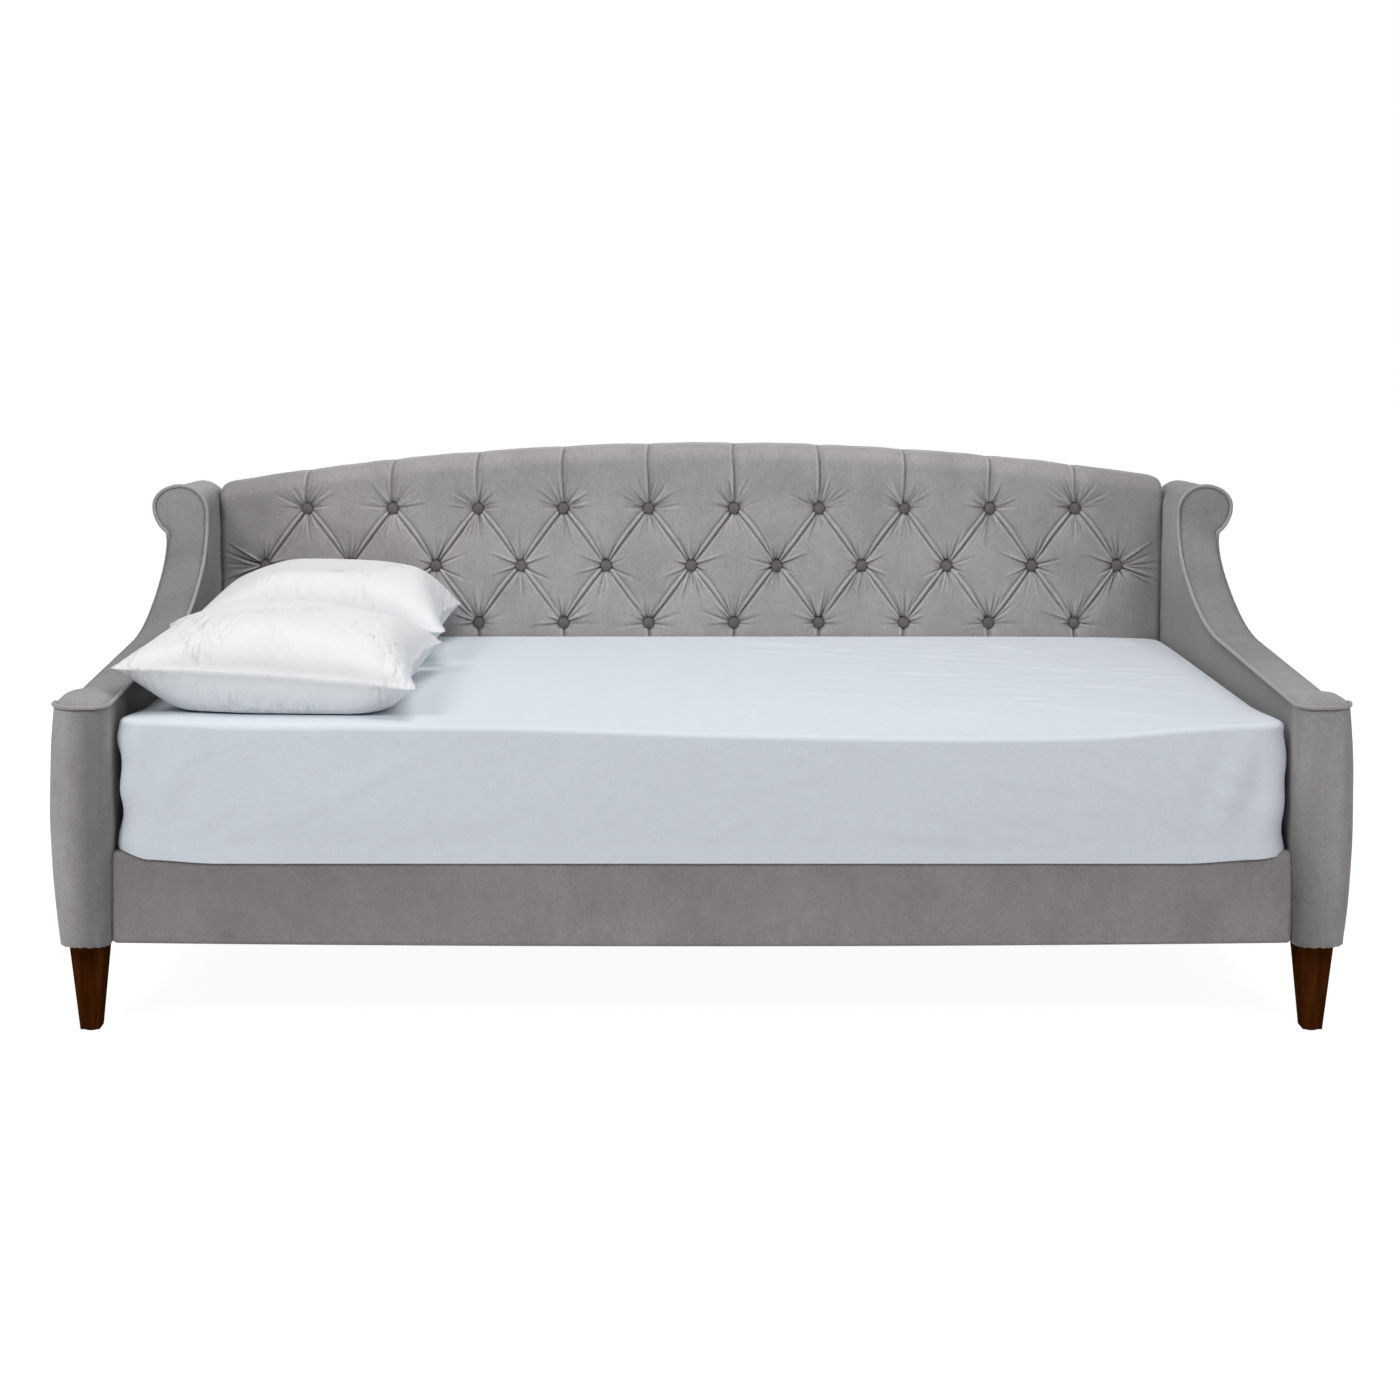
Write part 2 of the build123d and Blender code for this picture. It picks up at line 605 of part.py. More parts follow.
tuft_board = along(arch_face(BETWEEN_X, BACK_LIP, PAD_Z), BOARD_Y, FRAME_Y)
tuft_board -= [rod_y(x, BOARD_Y, FRAME_Y, z, TWINE + 2 * BOLT_GAP) for x, z in tufts]
top_rail = along(arch_face(BETWEEN_X, BACK_LIP, PAD_Z), FRAME_Y, PANEL_Y)
top_rail -= along(arch_face(2 * BETWEEN_X, BACK_LIP + TOP_RAIL, 0), FRAME_Y, PANEL_Y)
bottom_rail = block(-BETWEEN_X, BETWEEN_X, BOTTOM_RAIL_Y, PANEL_Y, FRAME_Z, BOTTOM_RAIL_TOP_Z)
back_panel = along(arch_face(BETWEEN_X, BACK_LIP, LEG_HEIGHT), PANEL_Y, REAR_Y)

under_top_rail = along(arch_face(BETWEEN_X, BACK_LIP + TOP_RAIL, BOTTOM_RAIL_TOP_Z), FRAME_Y, PANEL_Y)
MID_STILE_X = (TUFT_PAIRS / 2 - 0.25) * TUFT_PITCH
right_stiles = [
    under_top_rail & block(STILE_X, BETWEEN_X, FRAME_Y, PANEL_Y, 0, BACK_CREST),
    under_top_rail & block(MID_STILE_X - STILE / 2, MID_STILE_X + STILE / 2, FRAME_Y, PANEL_Y, 0, BACK_CREST),
]
right_stiles = [stile - bolt_holes for stile in right_stiles]
stiles = right_stiles + [mirrored(stile) for stile in right_stiles]

# Front rail

rail_board = block(
    -BETWEEN_X,
    BETWEEN_X,
    RAIL_Y + RAIL_PAD,
    RAIL_BACK_Y,
    LEG_HEIGHT + RAIL_UNDER_PAD,
    RAIL_TOP_Z - RAIL_TOP_PAD,
)
rail_pad = block(-BETWEEN_X, BETWEEN_X, RAIL_Y, RAIL_BACK_Y, LEG_HEIGHT, RAIL_TOP_Z)
rail_pad = fillet(rail_pad.edges().filter_by(Axis.X).sort_by(Axis.Y)[:2], RAIL_ROUND)
rail_pad -= rail_board

# Deck

LEDGE_X = BETWEEN_X - LEDGE_END
front_ledge = block(-LEDGE_X, LEDGE_X, RAIL_BACK_Y, RAIL_BACK_Y + LEDGE, LEDGE_TOP_Z - LEDGE, LEDGE_TOP_Z)
rear_ledge = block(-LEDGE_X, LEDGE_X, BOTTOM_RAIL_Y - LEDGE, BOTTOM_RAIL_Y, LEDGE_TOP_Z - LEDGE, LEDGE_TOP_Z)
SLAT_FRONT_Y = RAIL_BACK_Y + SLAT_END_GAP
SLAT_REAR_Y = BOTTOM_RAIL_Y - SLAT_END_GAP
SLAT_COUNT = int((2 * LEDGE_X - SLAT_WIDTH) // SLAT_PITCH) + 1
slat_places = [(index - (SLAT_COUNT - 1) / 2) * SLAT_PITCH for index in range(SLAT_COUNT)]
slats = [
    block(x - SLAT_WIDTH / 2, x + SLAT_WIDTH / 2, SLAT_FRONT_Y, SLAT_REAR_Y, LEDGE_TOP_Z, SLAT_TOP_Z)
    for x in slat_places
]
STRAP_X = slat_places[-1] + SLAT_WIDTH / 2
straps = [
    block(-STRAP_X, STRAP_X, y - STRAP_WIDTH / 2, y + STRAP_WIDTH / 2, LEDGE_TOP_Z - STRAP, LEDGE_TOP_Z)
    for y in (SLAT_FRONT_Y + STRAP_INSET, SLAT_REAR_Y - STRAP_INSET)
]

BEAM_FRONT_Y = BEAM_Y - BEAM_WIDTH / 2
BEAM_REAR_Y = BEAM_Y + BEAM_WIDTH / 2
beam = block(-BRACKET_X, BRACKET_X, BEAM_FRONT_Y, BEAM_REAR_Y, BEAM_Z, LEDGE_TOP_Z)
hanger_plate = block(
    BRACKET_X, BETWEEN_X, BEAM_Y - HANGER_WIDTH / 2, BEAM_Y + HANGER_WIDTH / 2, BEAM_Z - HANGER, LEDGE_TOP_Z
)
hanger_shelf = block(BETWEEN_X - HANGER_SHELF, BETWEEN_X, BEAM_FRONT_Y, BEAM_REAR_Y, BEAM_Z - HANGER, BEAM_Z)
hanger = hanger_plate + hanger_shelf - hanger_screw_holes

SUPPORT_X = SUPPORT_SPACING / 2
STEM_TOP_Z = LEVELLER_FOOT_HEIGHT + LEVELLER_REACH
support_leg = block(
    SUPPORT_X - BEAM_WIDTH / 2, SUPPORT_X + BEAM_WIDTH / 2, BEAM_FRONT_Y, BEAM_REAR_Y, SUPPORT_CLEAR, BEAM_Z
)
STEM_HOLE_TOP_Z = STEM_TOP_Z + LEVELLER_TRAVEL + LEVELLER_FOOT_HEIGHT
support_leg -= rod_z(SUPPORT_X, BEAM_Y, SUPPORT_CLEAR, STEM_HOLE_TOP_Z, LEVELLER_STEM + 2 * THREAD_GAP)
leveller = rod_z(SUPPORT_X, BEAM_Y, 0, LEVELLER_FOOT_HEIGHT, LEVELLER_FOOT)
leveller += rod_z(SUPPORT_X, BEAM_Y, LEVELLER_FOOT_HEIGHT, STEM_TOP_Z, LEVELLER_STEM)

# Legs

def leg(x, y):
    """A square leg tapering to its foot, with holes for its bolt above and its glide below."""
    foot = Pos(x, y, GLIDE) * RectangleRounded(LEG_FOOT, LEG_FOOT, LEG_EDGE)
    top = Pos(x, y, LEG_HEIGHT) * RectangleRounded(LEG_TOP, LEG_TOP, LEG_EDGE)
    body = loft([foot, top], ruled=True)
    body -= rod_z(x, y, LEG_HEIGHT - HANGER_BOLT_GRIP, LEG_HEIGHT, BOLT + 2 * THREAD_GAP)
    return body - rod_z(x, y, GLIDE, GLIDE + GLIDE_STUB_LENGTH, GLIDE_STUB + 2 * THREAD_GAP)


def glide(x, y):
    """A round foot under a leg, with the stub that holds it."""
    disc = rod_z(x, y, 0, GLIDE, GLIDE_DIAMETER)
    return disc + rod_z(x, y, GLIDE, GLIDE + GLIDE_STUB_LENGTH, GLIDE_STUB)


def leg_nut(x, y):
    """The threaded insert above a leg."""
    return rod_z(x, y, LEG_HEIGHT, LEG_HEIGHT + NUT_LENGTH, NUT) - rod_z(
        x, y, LEG_HEIGHT, LEG_HEIGHT + NUT_LENGTH, BOLT + 2 * THREAD_GAP
    )


def both_sides(pieces):
    """The given right-hand pieces with their mirror images."""
    return list(pieces) + [mirrored(piece) for piece in pieces]


save_pair("front_leg", leg(*leg_places[0]))
save_pair("rear_leg", leg(*leg_places[1]))
glides = both_sides([glide(x, y) for x, y in leg_places])
leg_bolts = both_sides(
    [rod_z(x, y, LEG_HEIGHT - HANGER_BOLT_GRIP, LEG_BOLT_TOP_Z, BOLT) for x, y in leg_places]
)
leg_nuts = both_sides([leg_nut(x, y) for x, y in leg_places])

# Fasteners

def frame_bolt(x, y, z):
    """A bolt from inside the frame into the arm, its head at the given place."""
    return rod_x(x - BOLT_HEAD_HEIGHT, x, y, z, BOLT_HEAD) + rod_x(x, BOLT_END_X, y, z, BOLT)


def frame_nut(y, z):
    """The threaded insert in the arm that takes a frame bolt."""
    return rod_x(PANEL_X, PANEL_X + NUT_LENGTH, y, z, NUT) - rod_x(
        PANEL_X, PANEL_X + NUT_LENGTH, y, z, BOLT + 2 * THREAD_GAP
    )


def bracket(near_y, far_y, plate_y):
    """A steel angle: one leg on the arm, one on the rail or the back."""
    top = BRACKET_Z + BRACKET_HEIGHT
    arm_leg = block(BRACKET_X, BETWEEN_X, near_y, far_y, BRACKET_Z, top)
    rail_leg = block(BETWEEN_X - BRACKET_LEG, BETWEEN_X, plate_y, plate_y + BRACKET, BRACKET_Z, top)
    return arm_leg + rail_leg - bolt_holes


def ledge_screw(x, outer_y, direction, gap=0.0):
    """A wood screw through a ledge into the board behind it, its head flush, or with a gap its hole."""
    z = LEDGE_TOP_Z - LEDGE / 2
    head_end = outer_y + direction * SCREW_HEAD / 2
    tip = outer_y + direction * (SCREW_LENGTH + gap)
    head = rod_y(x, min(outer_y, head_end), max(outer_y, head_end), z, SCREW_HEAD + 2 * gap)
    return head + rod_y(x, min(head_end, tip), max(head_end, tip), z, SCREW + 2 * gap)


def hanger_screw(y, z):
    """A wood screw through a beam hanger into the arm's inner panel."""
    head = rod_x(BRACKET_X - SCREW_HEAD / 4, BRACKET_X, y, z, SCREW_HEAD)
    return head + rod_x(BRACKET_X, HANGER_SCREW_END_X, y, z, SCREW)


frame_bolts = both_sides([frame_bolt(*place) for place in bolt_places])
frame_nuts = both_sides([frame_nut(y, z) for _, y, z in bolt_places])
front_bracket = bracket(RAIL_BACK_Y, RAIL_BACK_Y + BRACKET_LEG, RAIL_BACK_Y)
rear_bracket = bracket(BOTTOM_RAIL_Y - BRACKET_LEG, BOTTOM_RAIL_Y, REAR_BRACKET_Y)
brackets = both_sides([front_bracket, rear_bracket])
SCREW_COUNT = int(2 * (LEDGE_X - SCREW_HEAD) // SCREW_SPACING) + 1
screw_places = [(index - (SCREW_COUNT - 1) / 2) * SCREW_SPACING for index in range(SCREW_COUNT)]
front_screws = [ledge_screw(x, RAIL_BACK_Y + LEDGE, -1) for x in screw_places]
rear_screws = [ledge_screw(x, BOTTOM_RAIL_Y - LEDGE, 1) for x in screw_places]
front_screw_holes = [ledge_screw(x, RAIL_BACK_Y + LEDGE, -1, THREAD_GAP) for x in screw_places]
rear_screw_holes = [ledge_screw(x, BOTTOM_RAIL_Y - LEDGE, 1, THREAD_GAP) for x in screw_places]
hanger_screws = both_sides([hanger_screw(y, z) for y, z in hanger_screw_places])
front_ledge -= front_screw_holes
rail_board -= front_screw_holes
rear_ledge -= rear_screw_holes
bottom_rail -= rear_screw_holes

save("front_rail_board", rail_board)
save("front_rail_pad", rail_pad)
save("back_pad", tufted_pad())
save("back_tuft_board", tuft_board)
save("back_top_rail", top_rail)
save("back_bottom_rail", bottom_rail)
save("back_stiles", stiles)
save("back_outside_panel", back_panel)
for name, columns, height in zip(("upper", "middle", "lower"), row_columns, row_heights):
    save(f"tuft_buttons_{name}", [button(x, height) for x in columns])
save("tuft_ties", [tie(x, z) for x, z in tufts])
save("front_slat_ledge", front_ledge)
save("rear_slat_ledge", rear_ledge)
save("bed_slats", slats)
save("slat_straps", straps)
save("centre_beam", beam)
save("beam_hangers", both_sides([hanger]))
save_pair("support_leg", support_leg)
save_pair("levelling_foot", leveller)
save("leg_glides", glides)
save("leg_hanger_bolts", leg_bolts)
save("leg_insert_nuts", leg_nuts)
save("corner_brackets", brackets)
save("frame_bolts", frame_bolts)
save("frame_insert_nuts", frame_nuts)
save("wood_screws", front_screws + rear_screws + hanger_screws)

# Bedding

def mattress_form(grow):
    """A mattress with rounded corners and edges and a crowned top, grown outwards all round."""
    half = MATTRESS_WIDTH / 2 + grow
    low = MATTRESS_Z - grow
    shoulder = MATTRESS_Z + MATTRESS_SIDE + grow
    crown = ThreePointArc((-half, shoulder), (0, shoulder + MATTRESS_CROWN), (half, shoulder))
    sides = Polyline((half, shoulder), (half, low), (-half, low), (-half, shoulder))
    section = make_face(Curve() + [crown, sides])
    length = MATTRESS_LENGTH / 2 + grow
    form = Pos(0, MATTRESS_Y, 0) * across(section, -length, length)
    form = fillet(form.edges().filter_by(Axis.Z), MATTRESS_CORNER + grow)
    rims = form.faces().sort_by(Axis.Z)
    return fillet(rims[0].edges() + rims[-1].edges(), MATTRESS_EDGE + grow)


mattress = mattress_form(0)
tuck = block(
    -MATTRESS_LENGTH / 2 + SHEET_TUCK,
    MATTRESS_LENGTH / 2 - SHEET_TUCK,
    MATTRESS_Y - MATTRESS_WIDTH / 2 + SHEET_TUCK,
    MATTRESS_Y + MATTRESS_WIDTH / 2 - SHEET_TUCK,
    SHEET_Z - SHEET,
    MATTRESS_Z + SHEET,
)
sheet = mattress_form(SHEET) - mattress - tuck


def pillow(front_y, width, rise):
    """A plump pillow: four pointed corners, drawn-in sides, a crown above and a flat where it lies."""
    right_x = -INNER_X + END_GAP / 2 + PILLOW_LENGTH
    left_x = -INNER_X + END_GAP / 2
    low_z = BED_TOP_Z + REST_GAP
    seam_z = low_z + PILLOW_SEAM
    rear_y = front_y + width
    high = seam_z + PILLOW_TILT
    corners = [
        Vector(left_x, front_y, high),
        Vector(right_x, front_y, seam_z),
        Vector(right_x, rear_y, seam_z),
        Vector(left_x, rear_y, high),
    ]
    centre = Vector((left_x + right_x) / 2, (front_y + rear_y) / 2, (seam_z + high) / 2)
    sides = []
    for index, corner in enumerate(corners):
        after = corners[(index + 1) % 4]
        middle = (corner + after) / 2
        inward = (centre - middle).normalized() * PILLOW_DRAW
        sides.append(ThreePointArc(corner, middle + inward, after))
    outline = Wire([side.edge() for side in sides])
    halfway = [(centre + (corner + corners[(index + 1) % 4]) / 2) / 2 for index, corner in enumerate(corners)]
    faces = []
    for height in (low_z + rise - centre.Z, -centre.Z + low_z - PILLOW_DRAW):
        points = [centre + Vector(0, 0, height)]
        points += [place + Vector(0, 0, height * 0.8) for place in halfway]
        faces.append(Face.make_surface(outline, points))
    form = Solid(Shell(faces))
    return form - mattress_form(SHEET + REST_GAP)


REAR_PILLOW_Y = PAD_Y - PILLOW_GAP - REAR_PILLOW_WIDTH
FRONT_PILLOW_Y = REAR_PILLOW_Y - PILLOW_GAP - FRONT_PILLOW_WIDTH
save("mattress", mattress)
save("fitted_sheet", sheet)
save("front_pillow", pillow(FRONT_PILLOW_Y, FRONT_PILLOW_WIDTH, FRONT_PILLOW_RISE))
save("rear_pillow", pillow(REAR_PILLOW_Y, REAR_PILLOW_WIDTH, REAR_PILLOW_RISE))
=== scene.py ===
"""Daybed: velvet upholstery, bedding, finishes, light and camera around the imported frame, in metres."""
import math
from math import pi

import bmesh
import bpy
import numpy as np
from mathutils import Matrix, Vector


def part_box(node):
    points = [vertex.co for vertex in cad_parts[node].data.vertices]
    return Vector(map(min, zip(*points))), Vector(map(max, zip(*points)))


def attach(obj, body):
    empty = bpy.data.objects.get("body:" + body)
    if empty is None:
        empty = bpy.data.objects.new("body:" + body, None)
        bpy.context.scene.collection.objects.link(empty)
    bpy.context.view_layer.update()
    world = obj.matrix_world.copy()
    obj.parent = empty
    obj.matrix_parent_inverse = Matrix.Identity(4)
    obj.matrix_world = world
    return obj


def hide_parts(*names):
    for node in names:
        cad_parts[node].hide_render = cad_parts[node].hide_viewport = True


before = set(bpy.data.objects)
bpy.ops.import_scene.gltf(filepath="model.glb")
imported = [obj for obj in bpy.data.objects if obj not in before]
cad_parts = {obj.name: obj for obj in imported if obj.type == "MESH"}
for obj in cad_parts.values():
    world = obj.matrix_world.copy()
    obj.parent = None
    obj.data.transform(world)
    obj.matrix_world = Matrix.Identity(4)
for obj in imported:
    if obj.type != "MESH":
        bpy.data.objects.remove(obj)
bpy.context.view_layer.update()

rng = np.random.default_rng(11)
MM = 0.001


def corners(node):
    """Lowest and highest corner of a frame node as arrays."""
    low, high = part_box(node)
    return np.array(low), np.array(high)


# Places read from the frame

inside_low, inside_high = corners("right_arm_inside_pad")
outside_high = corners("right_arm_outside_pad")[1]
post_low, post_high = corners("right_post_pad")
roll_low, roll_high = corners("right_wing_roll")
facing_high = corners("right_arm_facing")[1]
back_low, back_high = corners("back_pad")
board_low = corners("back_tuft_board")[0]
panel_low = corners("back_outside_panel")[0]
rail_low, rail_high = corners("front_rail_pad")
sheet_low, sheet_high = corners("fitted_sheet")
mattress_low, mattress_high = corners("mattress")

INNER_X = inside_low[0]
ARM_OUTER_X = outside_high[0]
FLOOR_EDGE_Z = inside_low[2]
FRONT_Y = post_low[1]
POST_REAR_Y = post_high[1]
REAR_Y = inside_high[1]
SCROLL_RADIUS = (roll_high[0] - roll_low[0]) / 2
SCROLL_X = (roll_high[0] + roll_low[0]) / 2
SCROLL_TOP = roll_high[2]
SCROLL_Z = SCROLL_TOP - SCROLL_RADIUS

# Arm sizes

FACING = 12 * MM
WING_Y = facing_high[1] - FACING
NECK_SWELL = 5 * MM
SWELL_Z = 500 * MM
SWELL_RISE = 120 * MM
WIDEST_Z = SCROLL_Z + 12 * MM
UNDER_ROLL = 60 * MM
UNDER_X = SCROLL_X + SCROLL_RADIUS - UNDER_ROLL
UNDER_TURN = math.acos((ARM_OUTER_X + NECK_SWELL - UNDER_X) / UNDER_ROLL)
NECK_Z = WIDEST_Z - UNDER_ROLL * math.sin(UNDER_TURN)
WING_SWEEP = 130 * MM
ARM_SWEEP = 535 * MM
BREAK_TURN = math.radians(90 - 35)
SLOPE = math.radians(2.8)
CAP_FLARE = 19 * MM
INNER_ROUND = 24 * MM
OUTER_ROUND = 34 * MM
REAR_ROUND = 22 * MM
POST_BACK = 14 * MM
WELT = 7 * MM
WELT_OUT = WELT / 2 / math.sqrt(2)
FACING_CROWN = 5 * MM
INSIDE_CROWN = 3 * MM
POST_CROWN = 3 * MM
CLOTH = 3 * MM
ROLL_FALL = 8 * MM


# Mesh helpers

MERGE = 0.01 * MM


def grid_quads(rows, columns, loop_columns=False):
    """Corner numbers of a grid's quads, row by row, closed round the columns if asked."""
    across = columns if loop_columns else columns - 1
    row, column = np.divmod(np.arange((rows - 1) * across), across)
    after = (column + 1) % columns
    low, high = row * columns, (row + 1) * columns
    return np.stack([low + column, low + after, high + after, high + column], axis=1)


def make_mesh(name, grids, loop_columns=False, painted_shadings=None):
    """One mesh from grids of points (rows, columns, 3), put in as whole arrays. The painted shading, where given,
    says point by point how much shade (above 0) or light (below 0) is painted on the pile."""
    points, quads, count = [], [], 0
    for grid in grids:
        rows, columns = grid.shape[:2]
        quads.append(grid_quads(rows, columns, loop_columns) + count)
        points.append(grid.reshape(-1, 3))
        count += rows * columns
    points, quads = np.concatenate(points), np.concatenate(quads)
    mesh = bpy.data.meshes.new(name)
    mesh.vertices.add(len(points))
    mesh.vertices.foreach_set("co", points.astype(np.float32).ravel())
    mesh.loops.add(quads.size)
    mesh.loops.foreach_set("vertex_index", quads.astype(np.int32).ravel())
    mesh.polygons.add(len(quads))
    mesh.polygons.foreach_set("loop_start", np.arange(0, quads.size, 4, dtype=np.int32))
    if painted_shadings is not None:
        painted_shading = np.concatenate([np.broadcast_to(part, grid.shape[:2]).ravel() for part, grid in zip(painted_shadings, grids)])
        mesh.attributes.new("painted_shading", "FLOAT", "POINT").data.foreach_set("value", painted_shading.astype(np.float32))
    mesh.update(calc_edges=True)
    return mesh


def finish_mesh(mesh, closed, outward):
    """Merges doubles, fills the ends of a closed form, and turns the faces outwards."""
    shape = bmesh.new()
    shape.from_mesh(mesh)
    bmesh.ops.remove_doubles(shape, verts=shape.verts, dist=MERGE)
    if closed:
        rims = [edge for edge in shape.edges if edge.is_boundary]
        bmesh.ops.holes_fill(shape, edges=rims, sides=0)
    bmesh.ops.recalc_face_normals(shape, faces=shape.faces)
    if not closed:
        total = sum((np.array(face.normal) * face.calc_area() for face in shape.faces), np.zeros(3))
        if total @ np.array(outward) < 0:
            bmesh.ops.reverse_faces(shape, faces=shape.faces)
    shape.to_mesh(mesh)
    shape.free()
    mesh.polygons.foreach_set("use_smooth", np.ones(len(mesh.polygons), bool))
    mesh.update()


def linked(name, data):
    """An object put into the scene from its data."""
    made = bpy.data.objects.new(name, data)
    bpy.context.scene.collection.objects.link(made)
    return made


def piece(name, grids, finish, closed=False, loop_columns=False, outward=(0, -1, 0), painted_shadings=None):
    """A smooth-shaded piece of the object made from grids of points."""
    mesh = make_mesh(name, grids, loop_columns, painted_shadings)
    finish_mesh(mesh, closed, outward)
    mesh.materials.append(finish)
    return linked(name, mesh)


def place(made, nodes, body="frame"):
    """Hangs a piece on the body it rides on and hides the frame nodes it stands for."""
    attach(made, body)
    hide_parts(*nodes)


def cloth_cover(name, grids, finish, nodes, outward, painted_shadings=None):
    """A padded velvet piece made as an open surface, with its cloth's thickness on the inner side."""
    made = piece(name, grids, finish, outward=outward, painted_shadings=painted_shadings)
    solid = made.modifiers.new("Thickness", "SOLIDIFY")
    solid.thickness = CLOTH
    solid.offset = -1
    place(made, nodes)


def mirrored(points, side):
    """Points drawn on the right side, turned over for the left side where side is -1."""
    return points * np.array([side, 1, 1])


def smoothstep(value):
    """0 below 0, 1 above 1, and a smooth rise between."""
    value = np.clip(value, 0, 1)
    return value * value * (3 - 2 * value)


def stack(x, y, z):
    """Three arrays of coordinates as one array of points."""
    return np.stack(np.broadcast_arrays(x, y, z), axis=-1)


def join(*parts):
    """Arrays joined end to end."""
    return np.concatenate(parts)


def joined(*runs):
    """Runs that each hold the same few arrays, joined array by array."""
    return [np.concatenate(parts) for parts in zip(*runs)]


def quarter(count):
    """Angles from 0 to a quarter turn."""
    return np.linspace(0, pi / 2, count)


def eased(count):
    """Shares from 0 to 1, closer together at both ends, by a cosine."""
    return (1 - np.cos(np.linspace(0, pi, count))) / 2


def bell(value, width):
    """1 at 0, falling smoothly to both sides over a width."""
    return np.exp(-((value / width) ** 2))


def fading(value, reach):
    """1 at 0, falling at once to both sides over a reach."""
    return np.exp(-np.abs(value) / reach)


def waves(x, y, count, shortest, longest):
    """A gentle uneven field: a sum of count sine waves of random direction, length and phase."""
    total = np.zeros(np.broadcast(x, y).shape)
    for _ in range(count):
        turn, phase = rng.uniform(0, 2 * pi, 2)
        length = rng.uniform(shortest, longest)
        total = total + np.sin(2 * pi * (x * math.cos(turn) + y * math.sin(turn)) / length + phase)
    return total / math.sqrt(count)


# Finishes

def node(tree, kind, inputs=None, **settings):
    """One shader node; an input given as a socket is linked, and any other is set."""
    made = tree.nodes.new(kind)
    for name, value in settings.items():
        setattr(made, name, value)
    for name, value in (inputs or {}).items():
        if isinstance(value, bpy.types.NodeSocket):
            tree.links.new(value, made.inputs[name])
        else:
            made.inputs[name].default_value = value
    return made


def new_group(name, **defaults):
    """An empty shader node group; each input is a colour, vector or value by the size of its default."""
    tree = bpy.data.node_groups.new(name, "ShaderNodeTree")
    for label, default in defaults.items():
        kind = {4: "Color", 3: "Vector"}.get(np.size(default), "Float")
        tree.interface.new_socket(label, in_out="INPUT", socket_type=f"NodeSocket{kind}").default_value = default
    return tree, tree.nodes.new("NodeGroupInput").outputs


def give(tree, **results):
    """Ends a group with what it gives: its colour and its values."""
    for label in results:
        kind = "Color" if label == "Colour" else "Float"
        tree.interface.new_socket(label, in_out="OUTPUT", socket_type=f"NodeSocket{kind}")
    node(tree, "NodeGroupOutput", results)
    return tree


GRAIN_SCALE = 360.0
VELVET_GRAIN, COTTON_GRAIN = 0.11, 0.03
BUMP_STRENGTH = 0.6
EVEN = (1, 1, 1)


def object_noise(tree, stretch, scale, detail=3.0, roughness=0.5, distortion=0.0):
    """Noise on Object coordinates, stretched along the axes."""
    where = node(tree, "ShaderNodeTexCoord").outputs["Object"]
    turned = node(tree, "ShaderNodeMapping", {"Vector": where, "Scale": stretch}).outputs["Vector"]
    given = {"Vector": turned, "Scale": scale, "Detail": detail, "Roughness": roughness, "Distortion": distortion}
    return node(tree, "ShaderNodeTexNoise", given).outputs["Fac"]


def ranged(tree, value, low=-1.0, high=1.0, start=0.3, end=0.7):
    """A value between start and end mapped to low and high."""
    given = {"Value": value, "From Min": start, "From Max": end, "To Min": low, "To Max": high}
    return node(tree, "ShaderNodeMapRange", given).outputs["Result"]


def maths(tree, operation):
    """A function that combines two values by one operation."""
    return lambda one, two: node(tree, "ShaderNodeMath", {0: one, 1: two}, operation=operation).outputs[0]


def tinted(tree, colour, value):
    """A colour made lighter or darker by a value round 1."""
    return node(tree, "ShaderNodeVectorMath", {0: colour, "Scale": value}, operation="SCALE").outputs["Vector"]


def cloth_grain(tree, amount):
    """The fine speckle of a cloth's face, as a share of its tone."""
    return maths(tree, "MULTIPLY")(ranged(tree, object_noise(tree, EVEN, GRAIN_SCALE, 2.0)), amount)


def pile_and_painted_shading_group():
    """Velvet pile: broad brushed patches, pile streaks and fine fibres, as colour and height, with painted shade and
    light.
    """
    tree, given = new_group("pile_and_painted_shading", Colour=(0.3, 0.3, 0.3, 1), Patches=0.1, Fibres=0.1, Nap=0.0)
    add, take, times = (maths(tree, kind) for kind in ("ADD", "SUBTRACT", "MULTIPLY"))
    patches = ranged(tree, object_noise(tree, (1, 1, 0.8), 10.0, 5.0, 0.65))
    streaks = ranged(tree, object_noise(tree, (1, 1, 0.5), 90.0, 4.0, 0.65), -0.5, 0.5)
    fibres = ranged(tree, object_noise(tree, (1, 1, 0.6), 700.0, 2.0, 0.6))
    broad = times(add(patches, streaks), given["Patches"])
    fine = add(times(fibres, given["Fibres"]), cloth_grain(tree, VELVET_GRAIN))
    # Shade is painted on the colour where a piece's value is above 0, and light where it is below 0.
    shade = times(add(add(broad, fine), 1.0), take(1.0, times(given["Nap"], 0.5)))
    return give(tree, Colour=tinted(tree, given["Colour"], shade), Height=fibres)


def plain_weave_group():
    """Woven cotton: crossed threads with uneven yarn, and patches of creases, as colour and height."""
    tree, given = new_group("plain_weave", Colour=(0.8, 0.8, 0.8, 1), Threads=2200.0, Uneven=0.03, Creases=0.0)
    add, times, sine = (maths(tree, kind) for kind in ("ADD", "MULTIPLY", "SINE"))
    where = node(tree, "ShaderNodeTexCoord").outputs["Object"]
    axes = node(tree, "ShaderNodeSeparateXYZ", {"Vector": where}).outputs
    weave = 0.0
    for axis in "XYZ":
        weave = add(weave, sine(times(axes[axis], given["Threads"]), 0.0))
    yarn = ranged(tree, object_noise(tree, EVEN, 60.0, 5.0, 0.65))
    shade = add(add(times(yarn, given["Uneven"]), 1.0), cloth_grain(tree, COTTON_GRAIN))
    lines = ranged(tree, object_noise(tree, (1, 0.3, 0.22), 62.0, 2.0))
    spread = ranged(tree, object_noise(tree, EVEN, 9.0, 1.0), 0.0, 1.0, 0.45, 0.65)
    height = add(add(times(weave, 0.3), yarn), times(times(lines, spread), given["Creases"]))
    return give(tree, Colour=tinted(tree, given["Colour"], shade), Height=height)


